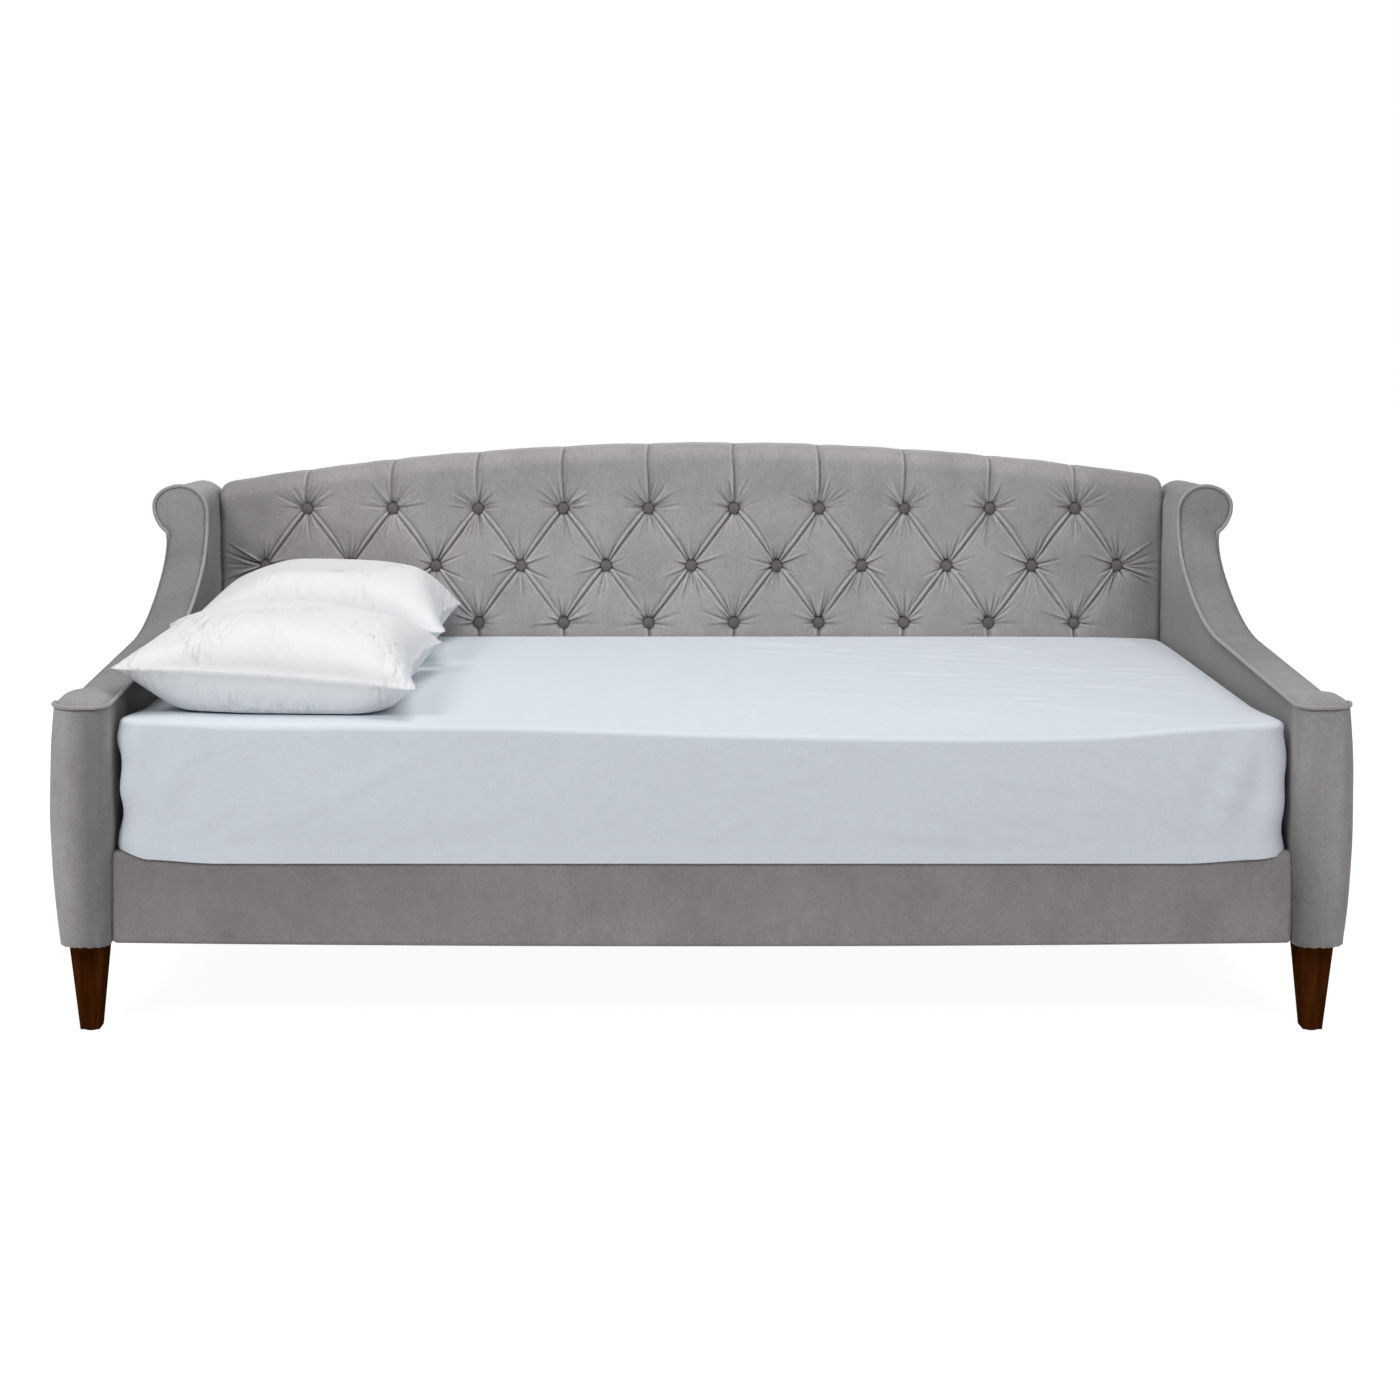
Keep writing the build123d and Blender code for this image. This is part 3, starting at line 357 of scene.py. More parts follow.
def wood_grain_group():
    """Straight wood grain: long fibres and slow rings along one axis, as colour, roughness and height."""
    dark, light = (0.02, 0.01, 0.005, 1), (0.1, 0.05, 0.02, 1)
    tree, given = new_group("wood_grain", Dark=dark, Light=light, Along=(1, 1, 0.06), Scale=40.0)
    rings = object_noise(tree, given["Along"], given["Scale"], 6.0, 0.65, 0.6)
    pores = object_noise(tree, given["Along"], maths(tree, "MULTIPLY")(given["Scale"], 9.0))
    mix = {0: ranged(tree, rings, 0.0, 1.0), 6: given["Dark"], 7: given["Light"]}
    mixed = node(tree, "ShaderNodeMix", mix, data_type="RGBA").outputs[2]
    worn = tinted(tree, mixed, ranged(tree, pores, 0.75, 1.15))
    return give(tree, Colour=worn, Roughness=ranged(tree, pores, 0.3, 0.5), Height=pores)


def principled(name, settings):
    """A material with a Principled shader whose plain values are set on its own sockets."""
    finish = bpy.data.materials.new(name)
    finish.use_nodes = True
    shader = finish.node_tree.nodes["Principled BSDF"]
    for label, value in settings.items():
        shader.inputs[label].default_value = value
    return finish, finish.node_tree, shader


def grouped(name, settings, group, depth, **values):
    """A material whose colour, height and, where the group gives it, roughness come from an effect group."""
    finish, tree, shader = principled(name, settings)
    placed = node(tree, "ShaderNodeGroup", values, node_tree=group)
    height = {"Height": placed.outputs["Height"], "Distance": depth, "Strength": BUMP_STRENGTH}
    tree.links.new(node(tree, "ShaderNodeBump", height).outputs["Normal"], shader.inputs["Normal"])
    tree.links.new(placed.outputs["Colour"], shader.inputs["Base Color"])
    if "Roughness" in placed.outputs:
        tree.links.new(placed.outputs["Roughness"], shader.inputs["Roughness"])
    return finish, tree, placed


pile_and_painted_shading, plain_weave, wood_grain = pile_and_painted_shading_group(), plain_weave_group(), wood_grain_group()
VELVET_PILE, WOOD_PORE = 0.35 * MM, 0.15 * MM
SHEEN = (0.95, 0.94, 0.95, 1)
VELVET_FACE = {"Roughness": 0.9, "Specular IOR Level": 0.15, "Sheen Roughness": 0.35, "Sheen Tint": SHEEN}
COTTON_FACE = {"Roughness": 0.82, "Specular IOR Level": 0.25, "Sheen Weight": 0.12, "Sheen Roughness": 0.4}


def velvet(name, colour, patches=0.11, fibres=0.1, sheen=0.4):
    """Cut velvet: matt warm grey pile with a soft sheen at grazing angles."""
    settings = {**VELVET_FACE, "Sheen Weight": sheen}
    values = {"Colour": (*colour, 1), "Patches": patches, "Fibres": fibres}
    finish, tree, placed = grouped(name, settings, pile_and_painted_shading, VELVET_PILE, **values)
    # Each piece's point values of painted shade and painted light reach the pile's colour here.
    painted_shading = node(tree, "ShaderNodeAttribute", attribute_name="painted_shading")
    tree.links.new(painted_shading.outputs["Fac"], placed.inputs["Nap"])
    return finish


def cotton(name, colour, uneven=0.02, threads=2200.0, depth=0.12 * MM, creases=0.0):
    """Fine woven cotton: matt, with a faint sheen, and soft creases where asked."""
    values = {"Colour": (*colour, 1), "Threads": threads, "Uneven": uneven, "Creases": creases}
    return grouped(name, COTTON_FACE, plain_weave, depth, **values)[0]


def wood(name, dark, light, along, scale):
    """Sawn or polished wood with its grain along one axis."""
    values = {"Dark": (*dark, 1), "Light": (*light, 1), "Along": along, "Scale": scale}
    return grouped(name, {"Specular IOR Level": 0.0}, wood_grain, WOOD_PORE, **values)[0]


def metal(name, colour, rough):
    """Zinc-plated steel with fine uneven brightness."""
    finish, tree, shader = principled(name, {"Metallic": 1.0})
    spots = object_noise(tree, EVEN, 220.0, 4.0, 0.6)
    tree.links.new(tinted(tree, colour, ranged(tree, spots, 0.85, 1.1)), shader.inputs["Base Color"])
    tree.links.new(ranged(tree, spots, rough * 0.8, rough * 1.2), shader.inputs["Roughness"])
    return finish


ALONG_X, ALONG_Y, ALONG_Z = (0.05, 1, 1), (1, 0.05, 1), (1, 1, 0.05)
PINE_DARK, PINE_LIGHT = (0.40, 0.24, 0.11), (0.60, 0.42, 0.23)

# One velvet in several tones: the back's and the welt's lighter tones are painted light, and the buttons' darker tone
# is painted shade.
back_velvet = velvet("back_velvet", (0.37, 0.351, 0.35))
arm_velvet = velvet("arm_velvet", (0.273, 0.26, 0.26))
facing_velvet = velvet("facing_velvet", (0.287, 0.276, 0.277))
rail_velvet = velvet("rail_velvet", (0.28, 0.26, 0.257))
outside_velvet = velvet("outside_velvet", (0.27, 0.257, 0.256))
button_velvet = velvet("button_velvet", (0.16, 0.142, 0.138), fibres=0.12, sheen=0.25)
welt_velvet = velvet("welt_velvet", (0.385, 0.366, 0.363), patches=0.05)
sheet_cotton = cotton("sheet_cotton", (0.697, 0.75, 0.808))
pillow_cotton = cotton("pillow_cotton", (0.81, 0.815, 0.83), creases=55.0)
ticking = cotton("ticking", (0.72, 0.70, 0.66), uneven=0.05, threads=900.0, depth=0.3 * MM)
webbing = cotton("webbing", (0.30, 0.29, 0.27), uneven=0.08, threads=1400.0, depth=0.4 * MM)
twine = cotton("twine", (0.42, 0.34, 0.22), uneven=0.1, threads=1500.0, depth=0.4 * MM)
walnut = wood("walnut", (0.04, 0.0105, 0.0018), (0.085, 0.024, 0.005), ALONG_Z, 45.0)
pine_x, pine_y, pine_z = (
    wood(f"pine_{axis}", PINE_DARK, PINE_LIGHT, along, 30.0) for axis, along in zip("xyz", (ALONG_X, ALONG_Y, ALONG_Z))
)
plywood = wood("plywood", (0.36, 0.23, 0.12), (0.52, 0.37, 0.21), ALONG_Z, 18.0)
steel = metal("steel", (0.62, 0.62, 0.63), 0.35)
nylon = cotton("nylon", (0.035, 0.035, 0.037), uneven=0.1, threads=300.0, depth=0.05 * MM)

FINISHES = [
    (walnut, "left_front_leg right_front_leg left_rear_leg right_rear_leg"),
    (pine_x, "front_rail_board front_slat_ledge rear_slat_ledge centre_beam back_bottom_rail back_top_rail"),
    (pine_y, "bed_slats left_arm_blocks right_arm_blocks"),
    (pine_z, "back_stiles left_support_leg right_support_leg"),
    (plywood, "left_arm_inner_panel right_arm_inner_panel left_arm_outer_panel right_arm_outer_panel back_tuft_board"),
    (steel, "corner_brackets beam_hangers frame_bolts frame_insert_nuts wood_screws leg_hanger_bolts leg_insert_nuts"),
    (nylon, "leg_glides left_levelling_foot right_levelling_foot"),
    (twine, "tuft_ties"),
    (webbing, "slat_straps"),
]
for finish, names in FINISHES:
    for name in names.split():
        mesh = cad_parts[name].data
        mesh.materials.clear()
        mesh.materials.append(finish)


# Arm outlines

UPPER_END = WING_SWEEP * BREAK_TURN
LOWER_END = UPPER_END + ARM_SWEEP * (pi / 2 - SLOPE - BREAK_TURN)
UPPER_Y, UPPER_Z = WING_Y - WING_SWEEP, SCROLL_Z
LOWER_Y = UPPER_Y + (WING_SWEEP - ARM_SWEEP) * math.cos(BREAK_TURN)
LOWER_Z = UPPER_Z - (WING_SWEEP - ARM_SWEEP) * math.sin(BREAK_TURN)
SLOPE_Y = LOWER_Y + ARM_SWEEP * math.sin(SLOPE)
SLOPE_Z = LOWER_Z - ARM_SWEEP * math.cos(SLOPE)
SWEEP_END = LOWER_END + (SLOPE_Y - FRONT_Y) / math.cos(SLOPE)


def sweep(s):
    """The arm's front edge in side view at length s below the scroll's middle, with its outward direction:
    straight down, a tight arc, a wide arc, then a straight slope to the front."""
    parts = [s < 0, s < UPPER_END, s < LOWER_END]
    turn = np.select(parts, [0 * s, s / WING_SWEEP, BREAK_TURN + (s - UPPER_END) / ARM_SWEEP], pi / 2 - SLOPE)
    run, cos, sin = s - LOWER_END, np.cos(turn), np.sin(turn)
    places = [WING_Y + 0 * s, UPPER_Y + WING_SWEEP * cos, LOWER_Y + ARM_SWEEP * cos]
    heights = [SCROLL_Z - s, UPPER_Z - WING_SWEEP * sin, LOWER_Z - ARM_SWEEP * sin]
    y = np.select(parts, places, SLOPE_Y - run * math.cos(SLOPE))
    z = np.select(parts, heights, SLOPE_Z - run * math.sin(SLOPE))
    return y, z, -cos, sin


def slope_z(y):
    """Height of the arm's straight slope at a place along Y."""
    return SLOPE_Z - (SLOPE_Y - y) * math.tan(SLOPE)


NECK_TURN = math.asin((SCROLL_Z - NECK_Z) / WING_SWEEP)
NECK_S = WING_SWEEP * NECK_TURN
NECK_Y = UPPER_Y + WING_SWEEP * math.cos(NECK_TURN)


def half_chord(radius, height):
    """Half the width of a circle at a height from its centre."""
    return np.sqrt(np.clip(radius ** 2 - height ** 2, 0, None))


def keyhole_inner(z):
    """The arm's inner outline in front view: straight, then round the scroll."""
    return np.where(z > SCROLL_Z, SCROLL_X - half_chord(SCROLL_RADIUS, z - SCROLL_Z), INNER_X)


def neck_swell(z):
    """How far the outside leans out below the neck: nothing low down, rising smoothly to the neck."""
    return NECK_SWELL * smoothstep((z - SWELL_Z) / SWELL_RISE)


def keyhole_outer(z):
    """The arm's outer outline in front view: nearly straight up to the neck, in under the scroll on a wide arc,
    and over the scroll's widest place on a quarter ellipse."""
    over = SCROLL_RADIUS / (SCROLL_TOP - WIDEST_Z) * half_chord(SCROLL_TOP - WIDEST_Z, z - WIDEST_Z)
    under = UNDER_X + half_chord(UNDER_ROLL, z - WIDEST_Z)
    return np.where(z > WIDEST_Z, SCROLL_X + over, np.where(z > NECK_Z, under, ARM_OUTER_X + neck_swell(z)))


def corner_loss(radius, run):
    """How far a rounded corner takes the edge in, at a distance run from the end."""
    return radius - half_chord(radius, radius - np.minimum(run, radius))


CAP_BLEND = 72 * MM
CAP_CROWN = 11 * MM
CAP_ROUND = 34 * MM
FACING_COLUMNS = 31
FACING_SINK = 0.5 * MM
FACING_SOFT = 0.5 * MM


def on_cap(y, start):
    """0 on the facing's narrow strip, rising smoothly to 1 on the wide cap, from a start behind the post."""
    return smoothstep((POST_REAR_Y + start - y) / CAP_BLEND)


def facing_edges(s, cap_start):
    """Inner and outer X of the facing at length s: the scroll, the narrow strip, then the wide rounded cap."""
    y, z, _, _ = sweep(s)
    run = SWEEP_END - s
    inner = keyhole_inner(z) + corner_loss(INNER_ROUND, run)
    outer = keyhole_outer(z) + CAP_FLARE * on_cap(y, cap_start) - corner_loss(OUTER_ROUND, run)
    return inner, outer


def facing_lengths():
    """Places along the facing: close together round the scroll's top and the cap's corners."""
    turn = quarter(26)
    top = -SCROLL_RADIUS * np.cos(turn)
    neck = np.linspace(0, 2 * NECK_S, 60)[1:]
    body = np.linspace(2 * NECK_S, SWEEP_END - OUTER_ROUND, 180)[1:]
    front = SWEEP_END - OUTER_ROUND * (1 - np.sin(turn))
    return join(top, neck, body, front[1:])


# Arm pieces

# Painted shade along the facing's edges beside the piping: how dark, and how far it reaches.
PIPING_DARK = 0.6
PIPING_REACH = 3 * MM


def facing_strip(cap_start, scroll, strip, slope, cap):
    """The facing: between its edges, a soft crown raised off the sweep by the root of a parabola. Its painted shade
    and light go by values for the scroll, the strip below it, the slope and the cap, and it is painted darker close to
    the piping."""
    s, share = facing_lengths()[:, None], eased(FACING_COLUMNS)[None, :]
    y, z, out_y, out_z = sweep(s)
    inner, outer = facing_edges(s, cap_start)
    width = outer - inner
    x = inner + width * share
    end = half_chord(1, 1 - np.minimum((SWEEP_END - s) / CAP_ROUND, 1))
    high = FACING_CROWN + CAP_CROWN * on_cap(y, cap_start) * end
    crown = high * np.clip(width / (ARM_OUTER_X - INNER_X), 0, 1) * half_chord(1, 2 * share - 1)
    soft = FACING_SOFT * waves(x, s, 6, 0.06, 0.2) * np.sin(pi * share)
    lift = crown + soft - FACING_SINK
    places = [0, 2 * NECK_S, 0.6 * SWEEP_END, SWEEP_END - CAP_BLEND, SWEEP_END]
    painted_shading = np.interp(s, places, [scroll, strip, slope, cap, cap])
    painted_shading = painted_shading + PIPING_DARK * fading(width * np.minimum(share, 1 - share), PIPING_REACH)
    return stack(x, y + out_y * lift, z + out_z * lift), painted_shading


SUNK_SIDE, SUNK_LIFT = 0.7, -1.3
SUNK_BLEND = 26 * MM
SUNK_THIN = 0.25


def welt_cord(cap_start):
    """Piping round the facing: a closed tube whose middle lies outside the facing's edge, half a diameter out
    sideways and outwards together; on the outer edge, between neck and cap, it lies sunk beside the edge.
    Also the shade painted on it: dark where it lies sunk."""
    s = facing_lengths()
    inner, outer = facing_edges(s, cap_start)
    y, z, out_y, out_z = sweep(s)
    outs = stack(0 * s, out_y, out_z)
    sunk = smoothstep((s - NECK_S) / SUNK_BLEND) * smoothstep((SWEEP_END - OUTER_ROUND - s) / SUNK_BLEND)
    path = join(stack(outer, y, z)[::-1], stack(inner, y, z)[1:])
    sunk = join(sunk[::-1], 0 * s[1:])[:, None]
    values = np.concatenate([path, join(outs[::-1], outs[1:]), sunk], axis=1)
    values = join(values, values[:1])
    length = join([0], np.cumsum(np.linalg.norm(np.diff(values[:, :3], axis=0), axis=1)))
    even = np.linspace(0, length[-1], 640, endpoint=False)
    values = np.stack([np.interp(even, length, column) for column in values.T], axis=1)
    for _ in range(2):
        values = (np.roll(values, 1, axis=0) + 2 * values + np.roll(values, -1, axis=0)) / 4
    path, outs, sunk = values[:, :3], values[:, 3:6], values[:, 6:]
    along = np.roll(path, -1, axis=0) - np.roll(path, 1, axis=0)
    along /= np.linalg.norm(along, axis=1, keepdims=True)
    sideways = np.cross(along, outs)
    sideways /= np.linalg.norm(sideways, axis=1, keepdims=True)
    outs = np.cross(sideways, along)
    aside, lift = 1 + (SUNK_SIDE - 1) * sunk, 1 + (SUNK_LIFT - 1) * sunk
    middle = path + WELT_OUT * (aside * sideways + lift * outs)
    turn = np.linspace(0, 2 * pi, 14, endpoint=False)[None, :, None]
    thick = WELT / 2 * (1 + 0.03 * np.sin(even * 260) + 0.02 * np.sin(even * 97)) * (1 - SUNK_THIN * sunk[:, 0])
    ring = np.cos(turn) * sideways[:, None] + np.sin(turn) * outs[:, None]
    tube = middle[:, None] + thick[:, None, None] * ring
    return join(tube, tube[:1]), join(sunk, sunk[:1])


POST_LEVELS = (FLOOR_EDGE_Z, FLOOR_EDGE_Z + 270 * MM, slope_z(POST_REAR_Y))
POST_FLARES = (18 * MM, 28 * MM, CAP_FLARE + 3 * MM)
post_curve = np.polyfit(POST_LEVELS, POST_FLARES, 2)
UNDER_INSETS = np.array([26, 12, 4, 0.8, 0.2]) * MM
UNDER_RISES = np.array([-2, -2, -1.4, 1, 5]) * MM
WRAP_ROWS = 70


def wrap_plan():
    """The arm cover's plan path from the wing, forward along the inside, round the post and to its outer rear
    corner, as Y, the fixed part of X, and the share of the post's flare that X takes. Also the top's height."""
    s = np.linspace(0, SWEEP_END - INNER_ROUND / math.cos(SLOPE), 150)
    turn, share = quarter(14)[1:], np.linspace(0, 1, 16)[1:]
    cos_loss, sin_loss = 1 - np.cos(turn), 1 - np.sin(turn)
    inside_y, inside_z, _, _ = sweep(s)
    rear, side = POST_REAR_Y + POST_BACK, FRONT_Y + OUTER_ROUND
    front = (INNER_X + INNER_ROUND) * (1 - share) + (ARM_OUTER_X - OUTER_ROUND) * share
    y, fixed, flare = joined(
        (inside_y, INNER_X + 0 * s, 0 * s),
        (FRONT_Y + INNER_ROUND * sin_loss, INNER_X + INNER_ROUND * cos_loss, 0 * turn),
        (FRONT_Y + 0 * share, front, share),
        (FRONT_Y + OUTER_ROUND * cos_loss, ARM_OUTER_X - OUTER_ROUND * sin_loss, 1 + 0 * turn),
        (side + (rear - REAR_ROUND - side) * share, ARM_OUTER_X + 0 * share, 1 + 0 * share),
        (rear - REAR_ROUND * sin_loss, ARM_OUTER_X - REAR_ROUND * cos_loss, 1 + 0 * turn),
        (rear + 0 * share, ARM_OUTER_X - REAR_ROUND * (1 + share), 1 + 0 * share),
    )
    return y, fixed, flare, join(inside_z, slope_z(y[len(s):]))


def cover_rows(top):
    """Rows of a cover up to its top: their heights, the first four turned under the lower edge, how far each is
    set in, and its share of the rise."""
    low = FLOOR_EDGE_Z + UNDER_RISES[-1]
    share = np.linspace(0, 1, WRAP_ROWS)[:, None] ** 0.9
    z = join(FLOOR_EDGE_Z + UNDER_RISES[:-1, None] + 0 * top, low + (top - low) * share)
    inset = join(UNDER_INSETS[:-1, None], UNDER_INSETS[-1] * (1 - share))
    return z, inset, np.clip((z - low) / (top - low), 0, 1)


PUCKER = 2.2 * MM
PUCKER_FADE = 9 * MM
COVER_SOFT = 0.5 * MM


def front_cover():
    """The cover below the welt: the plan path carried up from the turned-under edge to the top,
    pushed out by a sine crown and drawn in by small puckers along its foot."""
    y, fixed, flare, top = (part[None, :] for part in wrap_plan())
    z, inset, rise = cover_rows(top)
    x = fixed + flare * np.polyval(post_curve, np.maximum(z, FLOOR_EDGE_Z))
    y = np.broadcast_to(y, x.shape)
    along_x, along_y = np.gradient(x, axis=1), np.gradient(y, axis=1)
    size = np.hypot(along_x, along_y)
    on_post = smoothstep((POST_REAR_Y + POST_BACK - y) / 0.05)
    crown = (INSIDE_CROWN * (1 - on_post) + POST_CROWN * on_post) * np.sin(pi * rise) ** 0.7
    run = np.cumsum(size, axis=1) - size[:, :1]
    pucker = np.sin(run * 520 + 2 * np.sin(run * 90)) * np.exp(-(z - FLOOR_EDGE_Z) / PUCKER_FADE) * on_post
    soft = waves(run, z, 7, 0.08, 0.3) * np.sin(pi * rise) * smoothstep(run / 0.06)
    push = crown - inset + PUCKER * pucker + COVER_SOFT * soft
    return stack(x + along_y / size * push, y - along_x / size * push, z)


LID_SINK = 4 * MM
LID_REACH = 8 * MM


def post_lid(cover):
    """The post's top beside the facing's cap: from the cover's upper edge on its outer side, a little down and
    straight in under the facing."""
    edge = cover[-1]
    outer = np.flatnonzero((edge[:, 0] > ARM_OUTER_X) & (edge[:, 1] > FRONT_Y + OUTER_ROUND))
    edge = edge[outer[: np.argmax(edge[outer, 1]) + 1]]
    x, y, z = edge[:, 0], edge[:, 1], edge[:, 2]
    sunk = stack(x - LID_SINK, y, z - LID_SINK)
    return np.stack([edge, sunk, stack(ARM_OUTER_X - LID_REACH + 0 * x, y, z - LID_SINK)])


WING_SOFT = 0.6 * MM
REAR_GAP = 4 * MM
REAR_TURN_IN = np.array([0.8, 2.5, 6]) * MM
REAR_TURN_BACK = np.array([-1.5, -0.5, 0]) * MM
WING_COLUMNS = 46


def wing_cover():
    """The cover on the wing: the inside carried on up, over the scroll and into the neck, drawn along Y
    from the facing to the rear, where its edge turns in."""
    z, inset, rise = (part[:, 0] for part in cover_rows(np.array([[SCROLL_Z]])))
    inner = np.linspace(pi, pi / 2, 32)[1:]
    over = np.linspace(pi / 2, 0, 32)[1:]
    under = np.linspace(0, -UNDER_TURN, 24)[1:]
    rise_over = SCROLL_TOP - WIDEST_Z
    lean = np.arctan2(np.sin(over) * SCROLL_RADIUS, np.cos(over) * rise_over)
    x, z, turn, push = joined(
        (INNER_X + 0 * z, z, pi + 0 * z, INSIDE_CROWN * np.sin(pi * rise) ** 0.7 - inset),
        (SCROLL_X + SCROLL_RADIUS * np.cos(inner), SCROLL_Z + SCROLL_RADIUS * np.sin(inner), inner, 0 * inner),
        (SCROLL_X + SCROLL_RADIUS * np.cos(over), WIDEST_Z + rise_over * np.sin(over), lean, 0 * over),
        (UNDER_X + UNDER_ROLL * np.cos(under), WIDEST_Z + UNDER_ROLL * np.sin(under), under, 0 * under),
        ([ARM_OUTER_X - CLOTH], [NECK_Z - CLOTH], [-pi / 2], [0]),
    )
    on_outside = (x > SCROLL_X) & (z < SCROLL_Z)
    start = np.where(on_outside, UPPER_Y + half_chord(WING_SWEEP, z - SCROLL_Z), WING_Y)[:, None]
    x, z, turn, push = (part[:, None] for part in (x, z, turn, push))
    share = join(np.linspace(0, 1, WING_COLUMNS), [1, 1, 1])[None, :]
    turn_in = join(np.zeros(WING_COLUMNS), REAR_TURN_IN)[None, :]
    turn_back = join(np.full(WING_COLUMNS, -REAR_GAP), REAR_TURN_BACK)[None, :]
    y = np.where(share == 1, REAR_Y + turn_back, start + (REAR_Y - REAR_GAP - start) * share)
    climb = np.cumsum(np.abs(np.gradient(z[:, 0])))[:, None]
    soft = WING_SOFT * waves(climb, y, 6, 0.06, 0.2)
    reach = push - turn_in + soft * smoothstep((y - start) / 0.03)
    fall = ROLL_FALL * (y - WING_Y) / (REAR_Y - WING_Y) * smoothstep((z - NECK_Z) / (SCROLL_TOP - NECK_Z))
    return stack(x + np.cos(turn) * reach, y, z + np.sin(turn) * reach - fall)


OUTSIDE_CROWN = 2 * MM
OUTSIDE_SOFT = 0.7 * MM
OVERLAP = 4 * MM


def outside_cover():
    """The outside panel: flat, from the lower edge up to the sweep or the neck, with a slight crown."""
    s = np.linspace(NECK_S, SWEEP_END - (POST_REAR_Y - FRONT_Y) / math.cos(SLOPE) + OVERLAP, 110)
    behind = np.linspace(REAR_Y - 1 * MM, NECK_Y, 40, endpoint=False)
    y, top = (part[None, :] for part in joined((behind, NECK_Z + 1 * MM + 0 * behind), sweep(s)[:2]))
    z, inset, rise = cover_rows(top)
    ends = smoothstep((REAR_Y - y) / 0.05) * smoothstep((y - POST_REAR_Y) / 0.05)
    crown = OUTSIDE_CROWN * np.sin(pi * rise) ** 0.8 * ends
    soft = OUTSIDE_SOFT * waves(y, z, 7, 0.1, 0.4) * np.sin(pi * rise) * ends
    return stack(ARM_OUTER_X + neck_swell(z) + crown + soft - inset, y, z)


END_SEAM = 1.5 * MM
END_CROWN = 2 * MM


def rear_end_cover():
    """The arm's rear end: the keyhole outline from the lower edge to the scroll's top, slightly crowned."""
    straight = np.linspace(FLOOR_EDGE_Z + 1 * MM, SCROLL_Z, 90)
    z = join(straight, SCROLL_Z + SCROLL_RADIUS * np.sin(quarter(24)[1:]))[:, None]
    share = eased(21)[None, :]
    inner, outer = keyhole_inner(z), keyhole_outer(z)
    edge = END_SEAM * np.clip((outer - inner) / (2 * SCROLL_RADIUS), 0, 1)
    x = inner + edge + (outer - inner - 2 * edge) * share
    fall = ROLL_FALL * smoothstep((z - NECK_Z) / (SCROLL_TOP - NECK_Z))
    return stack(x, REAR_Y - 1 * MM + END_CROWN * half_chord(1, 2 * share - 1), z - fall)


POST_PLACES = (0, 0.1, 0.35, 0.5, 0.6, 0.8, 1)
POST_FACE = 20 * MM
# Painted light on the post's outer side.
SIDE_LIGHT = 0.35


def cover_painted_shading(grid, inside, roll, post):
    """The shade and light painted on the cover: values for the inside of the arm high up and low down, one for the
    top of the wing's roll, values across the post's front from its inner to its outer edge, high up and low down, and
    painted light on the post's outer side."""
    x, y, z = np.abs(grid[..., 0]), grid[..., 1], grid[..., 2]
    depth, below, top = y - FRONT_Y - POST_FACE, SCROLL_TOP - z, slope_z(POST_REAR_Y)
    inside = inside[0] + (inside[1] - inside[0]) * smoothstep((below - 0.08) / 0.2)
    within = smoothstep((INNER_X + 0.03 - x) / 0.03) * smoothstep((below - 0.01) / 0.05)
    above = smoothstep((0.04 - below) / 0.03)
    front = 1 - smoothstep(depth / 0.05)
    across = (x - INNER_X) / (ARM_OUTER_X + CAP_FLARE - INNER_X)
    upper, lower = (np.interp(across, POST_PLACES, values) for values in post)
    down = (top - z) / (top - FLOOR_EDGE_Z)
    post = upper + (lower - upper) * smoothstep((down - 0.2) / 0.6)
    corner = smoothstep((x - ARM_OUTER_X + 0.03) / 0.05) * (y < POST_REAR_Y + POST_BACK) * (1 - front)
    return inside * smoothstep(depth / 0.08) * within + roll * above + front * post - SIDE_LIGHT * corner


# Painted shading across each post's front, from its inner to its outer edge, high up and low down: shade above 0,
# light below 0.
RIGHT_POST = [(-0.4, -0.5, -0.55, -0.55, -0.6, -0.7, -0.5), (0.85, 0.65, 0.0, -0.25, -0.35, -0.6, -0.4)]
LEFT_POST = [(0, 0.36, 0.4, -0.1, -0.4, -1.05, -1.3), (0.45, 0.45, 0.4, -0.1, -0.4, -1.05, -1.4)]
# Each side: its sign and label, the shading painted on the facing's scroll, strip, slope and cap, on the inside high
# up and low down and on the roll's top, its post's table, and where its cap starts behind the post.
SIDES = [
    (1, "right", (-0.1, 0.14, 0.12, -0.6), (-0.25, 0.5), 0.25, RIGHT_POST, 10 * MM),
    (-1, "left", (-0.45, 0.28, 0.3, -0.4), (1.15, 1.15), -0.55, LEFT_POST, 36 * MM),
]
for side, label, facing_shading, inside_shading, roll_shading, post_shading, cap_start in SIDES:
    lower = front_cover()
    grids = [mirrored(grid, side) for grid in (lower, post_lid(lower), wing_cover())]
    painted_shadings = [cover_painted_shading(grid, inside_shading, roll_shading, post_shading) for grid in grids]
    stands_for = [f"{label}_arm_inside_pad", f"{label}_post_pad", f"{label}_wing_roll"]
    cloth_cover(f"{label}_arm_cover", grids, arm_velvet, stands_for, (-side, 0, 0), painted_shadings)
    strip, strip_shading = facing_strip(cap_start, *facing_shading)
    strip, stands_for = mirrored(strip, side), [f"{label}_arm_facing"]
    cloth_cover(f"{label}_facing_strip", [strip], facing_velvet, stands_for, (0, -0.5, 1), [strip_shading])
    outside, stands_for = mirrored(outside_cover(), side), [f"{label}_arm_outside_pad"]
    cloth_cover(f"{label}_outside_cover", [outside], outside_velvet, stands_for, (side, 0, 0))
    rear_end = mirrored(rear_end_cover(), side)
    cloth_cover(f"{label}_rear_end_cover", [rear_end], outside_velvet, [], (0, 1, 0))
    cord, cord_shading = welt_cord(cap_start)
    cord = mirrored(cord, side)
    welt = piece(f"{label}_arm_welt", [cord], welt_velvet, closed=True, loop_columns=True, painted_shadings=[cord_shading])
    place(welt, [f"{label}_arm_welts"])


# Tufted back

